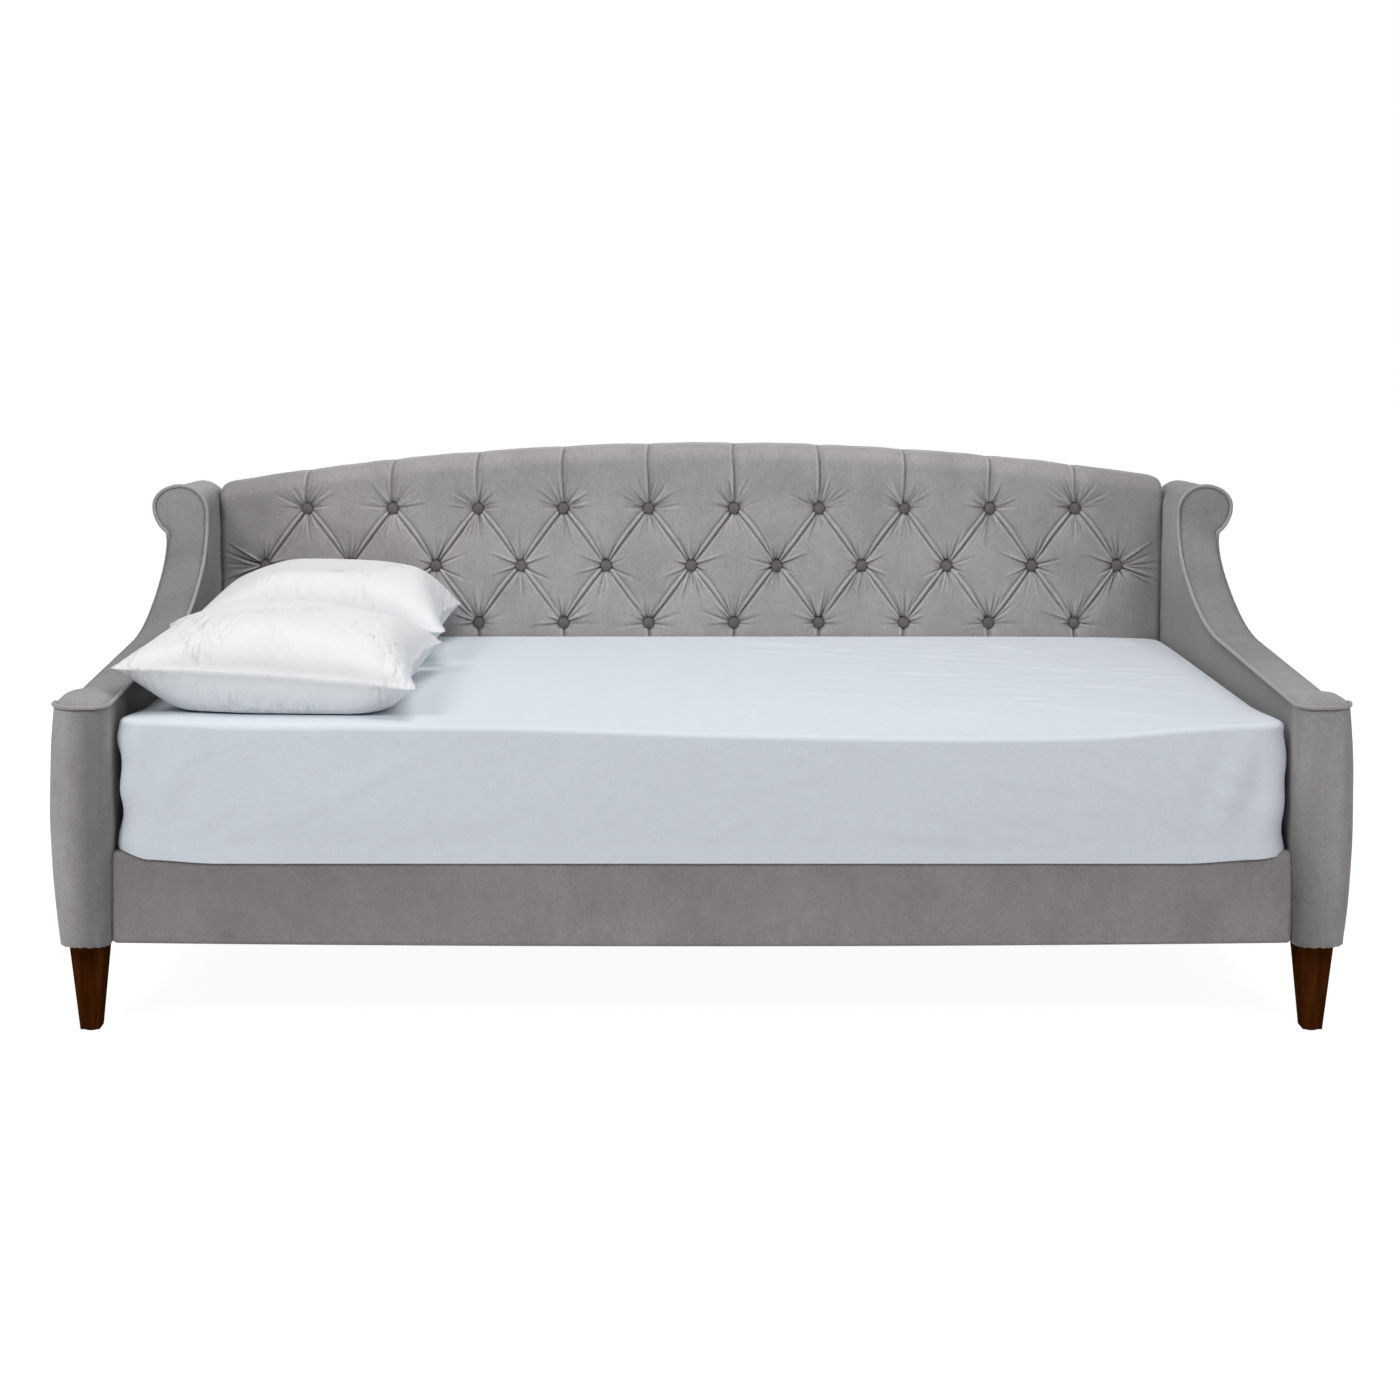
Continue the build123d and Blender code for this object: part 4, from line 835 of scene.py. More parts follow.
BACK_HALF = back_high[0]
PAD_Y = back_low[1]
BOARD_Y = board_low[1]
BACK_CREST = back_high[2]
BACK_END = 819 * MM
CREST_X = 40 * MM
ARCH_RISE = BACK_CREST - BACK_END
ARCH_RADIUS = (INNER_X ** 2 + ARCH_RISE ** 2) / (2 * ARCH_RISE)
TOP_ROUND = 34 * MM
REAR_EDGE_ROUND = 6 * MM
BACK_LIP = 15 * MM
TUFT_PITCH = 174.6 * MM
TUFT_MIDDLE = 647 * MM
TUFT_ROW = 118 * MM
BUTTON_RADIUS = 12 * MM
BUTTON_SEAT = 19 * MM
FUNNEL = 16 * MM
PLEAT_TILT = math.cos(math.atan2(TUFT_ROW, TUFT_PITCH / 2))
TUFT_PAIRS = 5
LAST_TUFT_X = TUFT_PAIRS * TUFT_PITCH

outer_columns = (np.arange(-TUFT_PAIRS, TUFT_PAIRS) + 0.5) * TUFT_PITCH
middle_columns = np.arange(-TUFT_PAIRS, TUFT_PAIRS + 1) * TUFT_PITCH
tuft_rows = [
    ("upper", outer_columns, TUFT_MIDDLE + TUFT_ROW),
    ("middle", middle_columns, TUFT_MIDDLE),
    ("lower", outer_columns, TUFT_MIDDLE - TUFT_ROW),
]
upper_bows = rng.uniform(-6, 6, 2 * TUFT_PAIRS + 8) * MM
lower_bows = rng.uniform(-6, 6, 2 * TUFT_PAIRS + 8) * MM


def arch(x):
    """Height of the back's top edge: one wide arc."""
    return BACK_CREST - ARCH_RADIUS + np.sqrt(ARCH_RADIUS ** 2 - (x - CREST_X) ** 2)


def zigzag(x):
    """Share of the way from a middle button's column, 0, to an outer row's column, 1."""
    return 1 - np.abs((x / (TUFT_PITCH / 2)) % 2 - 1)


def pleat_line(x, sign, bows):
    """Height of the zigzag pleat above (sign 1) or below (sign -1) the middle row, each run slightly bowed."""
    share = zigzag(x)
    run = np.floor(x / (TUFT_PITCH / 2)).astype(int) + TUFT_PAIRS * 2
    bow = bows[np.clip(run, 0, len(bows) - 1)] * 4 * share * (1 - share)
    return TUFT_MIDDLE + sign * TUFT_ROW * share + bow


def back_columns():
    """Places along X: close together near the buttons' columns, wider between, closest at the ends."""
    half = TUFT_PITCH / 4
    near = np.linspace(0, 1, 24, endpoint=False)
    step = half * (0.55 * near + 0.45 * near ** 2.2)
    cell = np.concatenate([step, 2 * half - step[:0:-1], [half]])
    cell = np.unique(np.round(np.sort(cell), 7))
    cells = [cell[:-1] + index * 2 * half for index in range(-2 * TUFT_PAIRS, 2 * TUFT_PAIRS)]
    inner = np.concatenate(cells + [[LAST_TUFT_X]])
    ends = LAST_TUFT_X + (BACK_HALF - LAST_TUFT_X) * np.sin(np.linspace(0, pi / 2, 44))[1:]
    return np.concatenate([-ends[::-1], inner, ends])


# Painted shade towards the back's ends, where the wings shade it, and high up in its middle.
DARKER_ENDS = 0.38
HIGH_DARK = 0.16
PLEAT_ABOVE, PLEAT_BELOW = 9 * MM, 15 * MM
CREASE, SECOND_CREASE = 2.2 * MM, 1.9 * MM
LIP_OFF, LIP = 4.2 * MM, 2.2 * MM
RIDGE_OFF, RIDGE = 4.6 * MM, 2.2 * MM
END_TURN = 16 * MM
END_DEPTH = 15 * MM
BACK_SOFT = 0.9 * MM
NEAR_BUTTON = 0.12


def tuft_depth(x, w):
    """How deep the cover lies below the crown at (x, w), w being height measured over the rounded top, and the shade
    and light painted on it.
    Each pleat is a valley, steep above and gentle below, with a narrow crease and a fainter second crease;
    each button pulls a funnel; the deepest of these counts, by a fourth-power mean; the ends turn in."""
    share = zigzag(x)
    sag = (1 - 4 * share * (1 - share)) ** 2
    inside = fading(np.clip(np.abs(x) - LAST_TUFT_X, 0, None), 9 * MM)
    total, creases, painted_shading, wrinkles = np.zeros((4, *np.broadcast(x, w).shape))
    gap = 10 * MM * np.sin(pi * share) ** 0.6 + 1 * MM
    rising = np.where((x / (TUFT_PITCH / 2)) % 2 < 1, 1, -1)
    for sign, bows in ((1, upper_bows), (-1, lower_bows)):
        off = (w - pleat_line(x, sign, bows)) * PLEAT_TILT
        deep = (5 + 13 * sag) * MM * inside
        total = total + (deep * fading(off, np.where(off > 0, PLEAT_ABOVE, PLEAT_BELOW))) ** 4
        main, second = fading(off, CREASE), fading(off - gap, SECOND_CREASE)
        roll, lip = bell(off - gap / 2, 0.27 * gap), bell(off + LIP_OFF, LIP)
        creases = creases + (4.6 * main + 3.2 * second - 2.2 * roll - 1.0 * lip) * MM * inside
        # Painted shade in each pleat's crease, full on the pleats of one slant and faint on the other, and painted
        # light on the roll and lip.
        dark = np.where(sign * rising > 0, 1.0, 0.2)
        painted_shading = painted_shading + (dark * main + 0.35 * second - 0.9 * roll - 0.6 * lip) * inside
    nearest = (np.round(x / TUFT_PITCH - 0.5) + 0.5) * TUFT_PITCH
    nearest = np.clip(nearest, outer_columns[0], outer_columns[-1])
    aside = x - nearest - 1.5 * MM * np.sin(w * 45 + nearest * 31)
    for run in (w - (TUFT_MIDDLE + TUFT_ROW), (TUFT_MIDDLE - TUFT_ROW) - w):
        on = smoothstep(run / (6 * MM))
        deep = (4.5 + 12 * fading(np.clip(run, 0, None), 14 * MM)) * MM * on
        total = total + (deep * fading(aside, 12 * MM)) ** 4
        main, ridge = fading(aside, SECOND_CREASE), bell(aside + RIDGE_OFF, RIDGE)
        second = fading(aside - 8 * MM * np.clip(run / 0.06, 0, 1), 1.8 * MM)
        creases = creases + (4.6 * main + 1.6 * second - 1.8 * ridge) * MM * on
        # Painted shade in the vertical creases and painted light on their ridges.
        painted_shading = painted_shading + (0.9 * main + 0.25 * second - 0.6 * ridge) * on
    for row, columns, height in tuft_rows:
        for column in columns:
            near = (np.abs(x - column) < NEAR_BUTTON) & (np.abs(w - height) < NEAR_BUTTON)
            right, up = (x + 0 * w)[near] - column, (w + 0 * x)[near] - height
            away = np.hypot(right, up)
            total[near] += (FUNNEL * fading(np.clip(away - 10 * MM, 0, None), 9 * MM)) ** 4
            end = np.sign(column) if abs(column) > LAST_TUFT_X - MM else 0
            wrinkles[near] += button_wrinkles(right, up, away, row, end)
    from_end = np.clip(1 - (BACK_HALF - np.abs(x)) / END_TURN, 0, 1)
    depth = total ** 0.25 + creases + wrinkles + END_DEPTH * (1 - half_chord(1, from_end))
    depth = depth + BACK_SOFT * waves(x, w, 9, 0.07, 0.25)
    # Painted shade in the wrinkles' grooves.
    painted_shading = np.clip(painted_shading + 0.3 * wrinkles / MM, -0.75, 1.1)
    # Painted shade high up in the middle and towards both ends, and a little painted light all over.
    high = HIGH_DARK * smoothstep((w - 0.775) / 0.03) * bell(x, 0.55)
    return depth, painted_shading - 0.1 + high + DARKER_ENDS * smoothstep((np.abs(x) - 0.70) / 0.22)


WRINKLE_FANS = {
    "upper": [(137, 36, 8), (43, 36, 7), (270, 26, 6)],
    "middle": [(90, 24, 5), (270, 26, 6), (180, 20, 2), (0, 20, 2)],
    "lower": [(90, 30, 7), (160, 22, 3), (20, 22, 3)],
}
FOLD_LENGTHS = (40, 92)
END_FAN = (32, 6, 85, 110)


def button_wrinkles(right, up, away, row, end):
    """Fine folds running out from a button in fans: narrow grooves with a ridge beside them, fading out at their
    length. The end buttons also have long folds fanning to the side seam."""
    depth = np.zeros_like(away)
    fans = [(*fan, *FOLD_LENGTHS) for fan in WRINKLE_FANS[row]]
    if end:
        fans.append((0 if end > 0 else 180, *END_FAN))
    for middle, spread, count, shortest, longest in fans:
        scatter = rng.uniform(-0.5, 0.5, count) * spread / count
        turns = np.radians(middle + np.linspace(-spread, spread, count) + scatter)
        lengths = rng.uniform(shortest, longest, count) * MM
        deeps = rng.uniform(1.6, 3.4, count) * MM
        hands = rng.choice([-1, 1], count)
        for turn, length, deep, hand in zip(turns, lengths, deeps, hands):
            ahead = right * math.cos(turn) + up * math.sin(turn)
            aside = hand * (up * math.cos(turn) - right * math.sin(turn))
            width = 1.5 * MM + 0.018 * np.clip(ahead, 0, None)
            groove = bell(aside, width) - 0.75 * bell(aside - 2 * width, width)
            fade = 1 - smoothstep((away - 0.25 * length) / (0.75 * length))
            depth += deep * groove * fade * (ahead > 0) * smoothstep((away - 8 * MM) / (5 * MM))
    return depth


def between(start, end, count, ease_start, ease_end):
    """Rows from one line to the next, closer together at an eased end."""
    share = np.linspace(0, 1, count)[:, None]
    if ease_start and ease_end:
        share = 0.45 * share + 0.55 * smoothstep(share)
    elif ease_start:
        share = 0.4 * share + 0.6 * share ** 2
    elif ease_end:
        share = 1 - (0.4 * (1 - share) + 0.6 * (1 - share) ** 2)
    return start + (end - start) * share


HIDDEN_TOP = 0.47
SMOOTH_REAR_Y = 0.476


def back_cushion():
    """The tufted back as one closed form: rows climb the front face between the zigzag pleats, so that every
    pleat lies on a row, roll over the arched top, drop down the rear lip and return behind the pad."""
    x = back_columns()[None, :]
    level, top, low = 0 * x, arch(x), back_low[2]
    low_line, high_line = pleat_line(x, -1, lower_bows), pleat_line(x, 1, upper_bows)
    w = join(
        between(low + level, HIDDEN_TOP + level, 5, False, False)[:-1],
        between(HIDDEN_TOP + level, low_line, 44, False, True)[:-1],
        between(low_line, high_line, 112, True, True)[:-1],
        between(high_line, top - TOP_ROUND, 84, True, False),
    )
    arc, lip = quarter(20)[1:, None] + level, quarter(7)[1:, None] + level
    over_y = np.linspace(PAD_Y + TOP_ROUND, REAR_Y - REAR_EDGE_ROUND, 12)[1:, None] + level
    drop = np.linspace(0, BACK_LIP - REAR_EDGE_ROUND, 5)[1:, None] + level
    lip_y = REAR_Y - REAR_EDGE_ROUND * (1 - np.sin(lip))
    y, z, turn = joined(
        (PAD_Y + 0 * w, w, 0 * w),
        (PAD_Y + TOP_ROUND * (1 - np.cos(arc)), top - TOP_ROUND * (1 - np.sin(arc)), arc),
        (over_y, top + 0 * over_y, pi / 2 + 0 * over_y),
        (lip_y, top - REAR_EDGE_ROUND * (1 - np.cos(lip)), pi / 2 + lip),
        (REAR_Y + 0 * drop, top - REAR_EDGE_ROUND - drop, pi + 0 * drop),
    )
    step = np.hypot(np.diff(y, axis=0), np.diff(z, axis=0))
    over = z[:1] + join(level, np.cumsum(step, axis=0))
    depth, painted_shading = tuft_depth(np.broadcast_to(x, over.shape), over)
    fade = 1 - 0.75 * smoothstep((turn - pi / 2) / (pi / 2)) - 0.5 * smoothstep((y - SMOOTH_REAR_Y) / 0.03)
    depth = depth * np.clip(fade, 0, 1)
    behind = join(top - BACK_LIP, (top - BACK_LIP + low) / 2, low + level)
    y = join(y + depth * np.cos(turn), BOARD_Y + 0 * behind)
    z = join(z - depth * np.sin(turn), behind)
    return np.swapaxes(stack(x, y, z), 0, 1), join(painted_shading, 0 * behind).T


BUTTON_RISE, BUTTON_DOME = 7.5, 5.5
BUTTON_SINK = 1 * MM


def tuft_button(x, z):
    """A covered button: a dome turned about Y, with a drawn-in rim and slightly gathered cloth; shade is painted on
    its rim.
    """
    share = np.linspace(0, 1, 12)
    radius = join(np.sin(share * pi / 2), [0.96, 0.8, 0])[:, None]
    rise = join(BUTTON_RISE + BUTTON_DOME * np.cos(share * pi / 2), [4.5, 0, 0])[:, None] * MM
    turn = np.linspace(0, 2 * pi, 28, endpoint=False)[None, :]
    reach = BUTTON_RADIUS * radius * (1 + 0.012 * np.sin(7 * turn + x * 40) * radius)
    # Painted shade on the rim.
    painted_shading = smoothstep((join(share, [1, 1, 1])[:, None] - 0.55) / 0.35)
    return stack(x + reach * np.cos(turn), PAD_Y + BUTTON_SEAT + BUTTON_SINK - rise, z + reach * np.sin(turn)), painted_shading


cushion, cushion_shading = back_cushion()
back = piece("back_cushion", [cushion], back_velvet, closed=True, loop_columns=True, painted_shadings=[cushion_shading])
place(back, ["back_pad"])
for row, columns, height in tuft_rows:
    domes, painted_shadings = zip(*(tuft_button(x, height) for x in columns))
    buttons = piece(f"{row}_buttons", domes, button_velvet, closed=True, loop_columns=True, painted_shadings=painted_shadings)
    place(buttons, [f"tuft_buttons_{row}"])

PANEL_DROP, PANEL_ROUND = 5 * MM, 7 * MM
PANEL_SWELL = 2 * MM
PANEL_SOFT = 0.5 * MM
PANEL_GAP = 0.5 * MM
PANEL_CLEAR = 1 * MM


def outside_back():
    """The outside back: an arched panel with softly rounded edges and a slight outward crown, returned forward
    along the frame's ends."""
    across = BACK_HALF * np.sin(np.linspace(-pi / 2, pi / 2, 120))
    forward = np.linspace(REAR_Y - BOARD_Y, PANEL_CLEAR, 8)
    beside = BACK_HALF + PANEL_CLEAR + 0 * forward
    x, ahead = (part[None, :] for part in joined((-beside, forward), (across, 0 * across), (beside, forward[::-1])))
    top = arch(x) - BACK_LIP - PANEL_GAP + PANEL_DROP * (ahead > 0)
    z = panel_low[2] + (top - panel_low[2]) * eased(80)[:, None]
    edge = np.minimum(np.minimum(z - panel_low[2], top - z), BACK_HALF - np.abs(x))
    edge = np.where(ahead > 0, 0, edge)
    drop = PANEL_DROP * np.clip(1 - edge / PANEL_ROUND, 0, 1) ** 2
    swell = PANEL_SWELL * smoothstep(edge / 0.12)
    soft = PANEL_SOFT * waves(x, z, 7, 0.2, 0.6) * (ahead == 0)
    return stack(x, REAR_Y - PANEL_GAP + swell - drop + soft - ahead, z)


cloth_cover("outside_back", [outside_back()], outside_velvet, ["back_outside_panel"], (0, 1, 0))


# Front rail

RAIL_ROUND = 9 * MM
RAIL_SAG = 6 * MM
RAIL_CROWN = 2.5 * MM
RAIL_SOFT = 0.6 * MM
RAIL_END = 0.12
# Painted light towards the rail's foot and painted shade towards its left end.
LIGHT_FOOT, DARK_LEFT = 0.25, 0.22


def front_rail():
    """The padded rail: a rounded section carried along X, drawn in at both ends, its lower edge sagging
    by a parabola towards the middle and its face slightly crowned. Light is painted on it towards the foot
    and shade towards the left."""
    turn = quarter(9)
    cos_loss, sin_loss = RAIL_ROUND * (1 - np.cos(turn)), RAIL_ROUND * (1 - np.sin(turn))
    run = join(cos_loss, np.linspace(RAIL_ROUND, RAIL_END, 16)[1:])
    between_ends = np.linspace(-BACK_HALF + RAIL_END, BACK_HALF - RAIL_END, 140)[1:-1]
    x = join(-BACK_HALF + run, between_ends, BACK_HALF - run[::-1])[:, None]
    loss = corner_loss(RAIL_ROUND, BACK_HALF - np.abs(x))
    front, rear, low, high = rail_low[1], rail_high[1], rail_low[2], rail_high[2]
    middle_y, middle_z = (front + rear) / 2, (low + high) / 2
    face = np.linspace(low + RAIL_ROUND, high - RAIL_ROUND, 40)[1:-1]
    section = joined(
        ([rear, middle_y], [low, low]),
        (front + sin_loss, low + cos_loss),
        (front + 0 * face, face),
        (front + cos_loss, high - sin_loss),
        ([middle_y, rear], [high, high]),
    )
    y, z = (part[None, :] for part in section)
    rise = (z - low) / (high - low)
    crown = RAIL_CROWN * np.sin(pi * rise) ** 0.8 * (y < front + RAIL_ROUND)
    soft = RAIL_SOFT * waves(x, z, 8, 0.1, 0.5) * np.sin(pi * rise)
    sag = RAIL_SAG * (1 - (x / BACK_HALF) ** 2) * (1 - rise) ** 2
    face_y = y - crown - soft + loss * smoothstep((rear - y) / (rear - front))
    points = stack(x, face_y, middle_z + (z - middle_z) * (1 - loss / (high - low)) - sag)
    return points, DARK_LEFT * smoothstep((-x - 0.3) / 0.45) - LIGHT_FOOT * (1 - rise)


rail_grid, rail_shading = front_rail()
rail = piece("front_rail_cover", [rail_grid], rail_velvet, closed=True, loop_columns=True, painted_shadings=[rail_shading])
place(rail, ["front_rail_pad"])


# Bedding

BED_HALF_X = sheet_high[0]
BED_HALF_Y = (sheet_high[1] - sheet_low[1]) / 2
BED_Y = (sheet_high[1] + sheet_low[1]) / 2
BED_TOP_Z = sheet_high[2]
BED_EDGE = 10 * MM
BED_CORNER = 40 * MM
SIDE_DROP = 5 * MM
EDGE_DIP = 14 * MM
HEM_Z = 288 * MM
HEM_END_RISE = 7 * MM
HEM_CORNER_RISE = 12 * MM

MATTRESS_GAP = 6 * MM
MATTRESS_UNDER = 7 * MM
FRONT_BAND = 240 * MM
DIP_X, DIP_HALF = 420 * MM, 480 * MM
LEFT_LIFT, FAR_LEFT_LIFT, RIGHT_LIFT = 6 * MM, 8 * MM, 13 * MM


def bed_height(x, y):
    """Height of the bed's top: level, falling slightly at the ends and the rear, with a front edge that stands up
    towards both corners and dips right of the middle."""
    across = np.clip(np.abs(x) / BED_HALF_X, 0, 1)
    deep = np.clip((y - BED_Y) / BED_HALF_Y, 0, 1)
    drop = SIDE_DROP * (across ** 8 + deep ** 6)
    near_front = smoothstep(1 - (y - BED_Y + BED_HALF_Y) / FRONT_BAND)
    lift = LEFT_LIFT * smoothstep(-x / 0.4) + FAR_LEFT_LIFT * smoothstep((-x - 0.72) / 0.2)
    lift = lift + RIGHT_LIFT * smoothstep((x - 0.6) / 0.3) - EDGE_DIP * bell(x - DIP_X, DIP_HALF)
    return BED_TOP_Z - drop * (1 - near_front) + lift * near_front


def rounded_outline(half_x, half_y, radius, count_x, count_y, count_arc):
    """A rounded rectangle's four sides, each from the middle of one corner arc to the next, with outward normals."""
    eighth = np.linspace(0, pi / 4, count_arc)
    start, end = eighth[:-1] - pi / 4, eighth[1:]
    sides = []
    for index, (along, out, count) in enumerate([(half_x, half_y, count_x), (half_y, half_x, count_y)] * 2):
        along, out = along - radius, out - radius
        straight = np.linspace(-along, along, count)
        centre, lean = joined((0 * start - along, start), (straight, 0 * straight), (0 * end + along, end))
        normal = np.stack([np.sin(lean), -np.cos(lean)], axis=1)
        cos, sin = math.cos(index * pi / 2), math.sin(index * pi / 2)
        turned = np.array([[cos, sin], [-sin, cos]])
        points = np.stack([centre, 0 * centre - out], axis=1) + radius * normal
        sides.append((points @ turned, normal @ turned))
    return sides


def patch(sides):
    """A grid filling four sides by blending opposite sides and taking away the corners' blend."""
    front, right, rear, left = (side[0] for side in sides)
    rear, left = rear[::-1], left[::-1]
    u = np.linspace(0, 1, len(front))[None, :, None]
    v = np.linspace(0, 1, len(right))[:, None, None]
    ruled = (1 - v) * front[None] + v * rear[None] + (1 - u) * left[:, None] + u * right[:, None]
    blend = (1 - u) * (1 - v) * front[0] + u * (1 - v) * front[-1] + (1 - u) * v * rear[0] + u * v * rear[-1]
    return ruled - blend


def bed_plan(half_x, half_y, count_x, count_y, count_arc):
    """A bed's plan inside its rounded edge: X and Y of a grid that fills it, the ring of points round it, and
    the ring's outward normals."""
    radius = BED_CORNER - BED_EDGE
    sides = rounded_outline(half_x - BED_EDGE, half_y - BED_EDGE, radius, count_x, count_y, count_arc)
    flat = patch(sides) + np.array([0, BED_Y])
    ring, normal = joined(*((points[:-1], out[:-1]) for points, out in sides))
    return flat[..., 0], flat[..., 1], ring + np.array([0, BED_Y]), normal


def bed_wall(ring, normal, reach, z):
    """A closed wall round a bed: the ring pushed out along its normals by the reach, at heights z."""
    wall = stack(ring[:, 0] + normal[:, 0] * reach, ring[:, 1] + normal[:, 1] * reach, z)
    return np.concatenate([wall, wall[:, :1]], axis=1)


def crease_lines(u, v, count, middles, leans, lengths, widths, heights, groove=0.0, mirror=math.inf):
    """Faint creases at random: narrow ridges along slanting lines, each with a groove beside it where asked, fading
    at their ends. Beyond the mirror they slant the other way."""
    total = np.zeros(np.broadcast(u, v).shape)
    for _ in range(count):
        middle_u, middle_v = (rng.uniform(*limits) for limits in middles)
        turn = rng.normal(*leans) * (1 if middle_u < mirror else -1)
        right, up = u - middle_u, v - middle_v
        ahead = right * math.cos(turn) + up * math.sin(turn)
        aside = up * math.cos(turn) - right * math.sin(turn)
        length, width = rng.uniform(*lengths), rng.uniform(*widths) * MM
        ridge = bell(aside, width) - groove * bell(aside + 1.6 * width, width)
        total = total + rng.uniform(*heights) * MM * ridge * bell(ahead, length)
    return total


TOP_CREASES = (40, [(0.15, 0.9), (-0.4, 0.42)], (-0.25, 0.3), (0.06, 0.2), (8, 15), (1.1, 2.6))
FRONT_CREASES = (34, [(-0.92, 0.92), (0.32, 0.47)], (0.42, 0.2), (0.04, 0.12), (6, 11), (0.5, 1.3), 0.6, 0.3)
BELLY, BELLY_SOFT = 2.5 * MM, 2 * MM
CORNER_FOLD = 3.2 * MM
CORNER_LUMP, LUMP_PITCH = 3.5 * MM, 83 * MM
HEM_OUT = 2.5 * MM
PUCKERS = 0.7 * MM


def fitted_sheet():
    """The sheet: a top patch, and a wall carried round the rounded outline: a quarter-round edge, then down
    to the hem, which hangs lowest along the front and lifts at its ends, with soft folds at the corners."""
    top_x, top_y, ring, normal = bed_plan(BED_HALF_X, BED_HALF_Y, 330, 150, 8)
    inset = np.minimum(BED_HALF_X - BED_EDGE - np.abs(top_x), BED_HALF_Y - BED_EDGE - np.abs(top_y - BED_Y))
    top_z = bed_height(top_x, top_y) + crease_lines(top_x, top_y, *TOP_CREASES) * smoothstep(inset / 0.08)
    (x, y), forward = ring.T, -normal[:, 1]
    turn, fall = quarter(8)[:, None], np.linspace(0, 1, 30)[1:, None]
    edge, down = join(BED_EDGE * np.sin(turn), BED_EDGE + 0 * fall), join(0 * turn, fall)
    rim, past = bed_height(x, y), np.abs(x) - BED_HALF_X
    corner_rise = HEM_CORNER_RISE * (1 - 0.6 * smoothstep(x / BED_HALF_X + 0.5))
    hem = HEM_Z + HEM_END_RISE * smoothstep((past + 0.17) / 0.13) + corner_rise * smoothstep((past + 0.05) / 0.035)
    hem = np.where(forward > 0.3, hem, HEM_Z + HEM_END_RISE + corner_rise)
    shoulder = rim - BED_EDGE
    z = join(rim - BED_EDGE * (1 - np.cos(turn)), shoulder - (shoulder - hem) * fall)
    run = join([0], np.cumsum(np.linalg.norm(np.diff(ring, axis=0), axis=1)))
    belly = (BELLY + BELLY_SOFT * waves(run, z, 8, 0.25, 0.8)) * np.sin(pi * down)
    near_front = smoothstep((BED_Y - y - BED_HALF_Y + 0.2) / 0.14)
    near_end = smoothstep((np.abs(y - BED_Y) - BED_HALF_Y + 0.2) / 0.14)
    folds = np.sin(run * 80 + 5 * down) * np.sin(pi * np.clip(down * 1.1, 0, 1))
    folds = CORNER_FOLD * bell(past + 0.03, 0.12) * near_end * folds
    hem_out = HEM_OUT * smoothstep((down - 0.85) / 0.15)
    tip = bell(past, 0.035) * near_front * smoothstep(down / 0.05) * (1 - 0.5 * smoothstep(x))
    lumps = CORNER_LUMP * tip * np.sin(2 * pi * (z - HEM_Z) / LUMP_PITCH + np.sign(x))
    front = smoothstep((forward - 0.5) / 0.4)
    lines = crease_lines(x, z, *FRONT_CREASES) * front * smoothstep(down / 0.08) * smoothstep((1 - down) / 0.06)
    puckers = PUCKERS * waves(run, 3 * z, 6, 0.02, 0.05) * front * bell(down - 0.05, 0.09) * (down > 0)
    reach = edge + belly + folds + hem_out + lumps + lines + puckers
    return [stack(top_x, top_y, top_z), bed_wall(ring, normal, reach, z)]


def mattress_form():
    """The mattress under the sheet: the same rounded outline, closed above and below, a little smaller."""
    half_x, half_y = mattress_high[0], (mattress_high[1] - mattress_low[1]) / 2
    x, y, ring, normal = bed_plan(half_x - MATTRESS_GAP, half_y - MATTRESS_GAP, 100, 60, 6)
    low, rim = mattress_low[2], bed_height(*ring.T) - MATTRESS_UNDER
    turn, fall = quarter(8)[:, None], np.linspace(0, 1, 12)[1:-1, None]
    out, loss = BED_EDGE * np.sin(turn), BED_EDGE * (1 - np.cos(turn))
    side = rim - BED_EDGE + (low - rim + 2 * BED_EDGE) * fall
    z = join(rim - loss, side, low + loss[::-1] + 0 * rim)
    wall = bed_wall(ring, normal, join(out, BED_EDGE + 0 * fall, out[::-1]), z)
    return [stack(x, y, bed_height(x, y) - MATTRESS_UNDER), wall, stack(x, y, low)]


mattress = piece("mattress_core", mattress_form(), ticking, closed=True)
place(mattress, ["mattress"], body="mattress")
sheet = piece("bed_sheet", fitted_sheet(), sheet_cotton, outward=(0, 0, 1))
place(sheet, ["fitted_sheet"], body="mattress")


# Pillows

def pillow_bag(length, width, cells_x, cells_y, lift):
    """Two flat layers sewn round the edge: height falls to nothing at the seam as a product of quartics."""
    u = np.linspace(-1, 1, cells_x + 1)[None, :]
    v = np.linspace(-1, 1, cells_y + 1)[:, None]
    top = stack(u * length / 2, v * width / 2, lift * (1 - u ** 4) * (1 - v ** 4))
    return top, top * np.array([1, 1, -1])


MOST_FRAMES = 40
CLOTH_SETTINGS = {"quality": 7, "air_damping": 2, "shear_stiffness": 5, "use_pressure": True}


def read(items, label, width, kind=np.float32):
    """One value of each of a mesh's items, such as the places of its vertices, as rows of an array."""
    values = np.zeros(len(items) * width, kind)
    items.foreach_get(label, values)
    return values.reshape(-1, width)


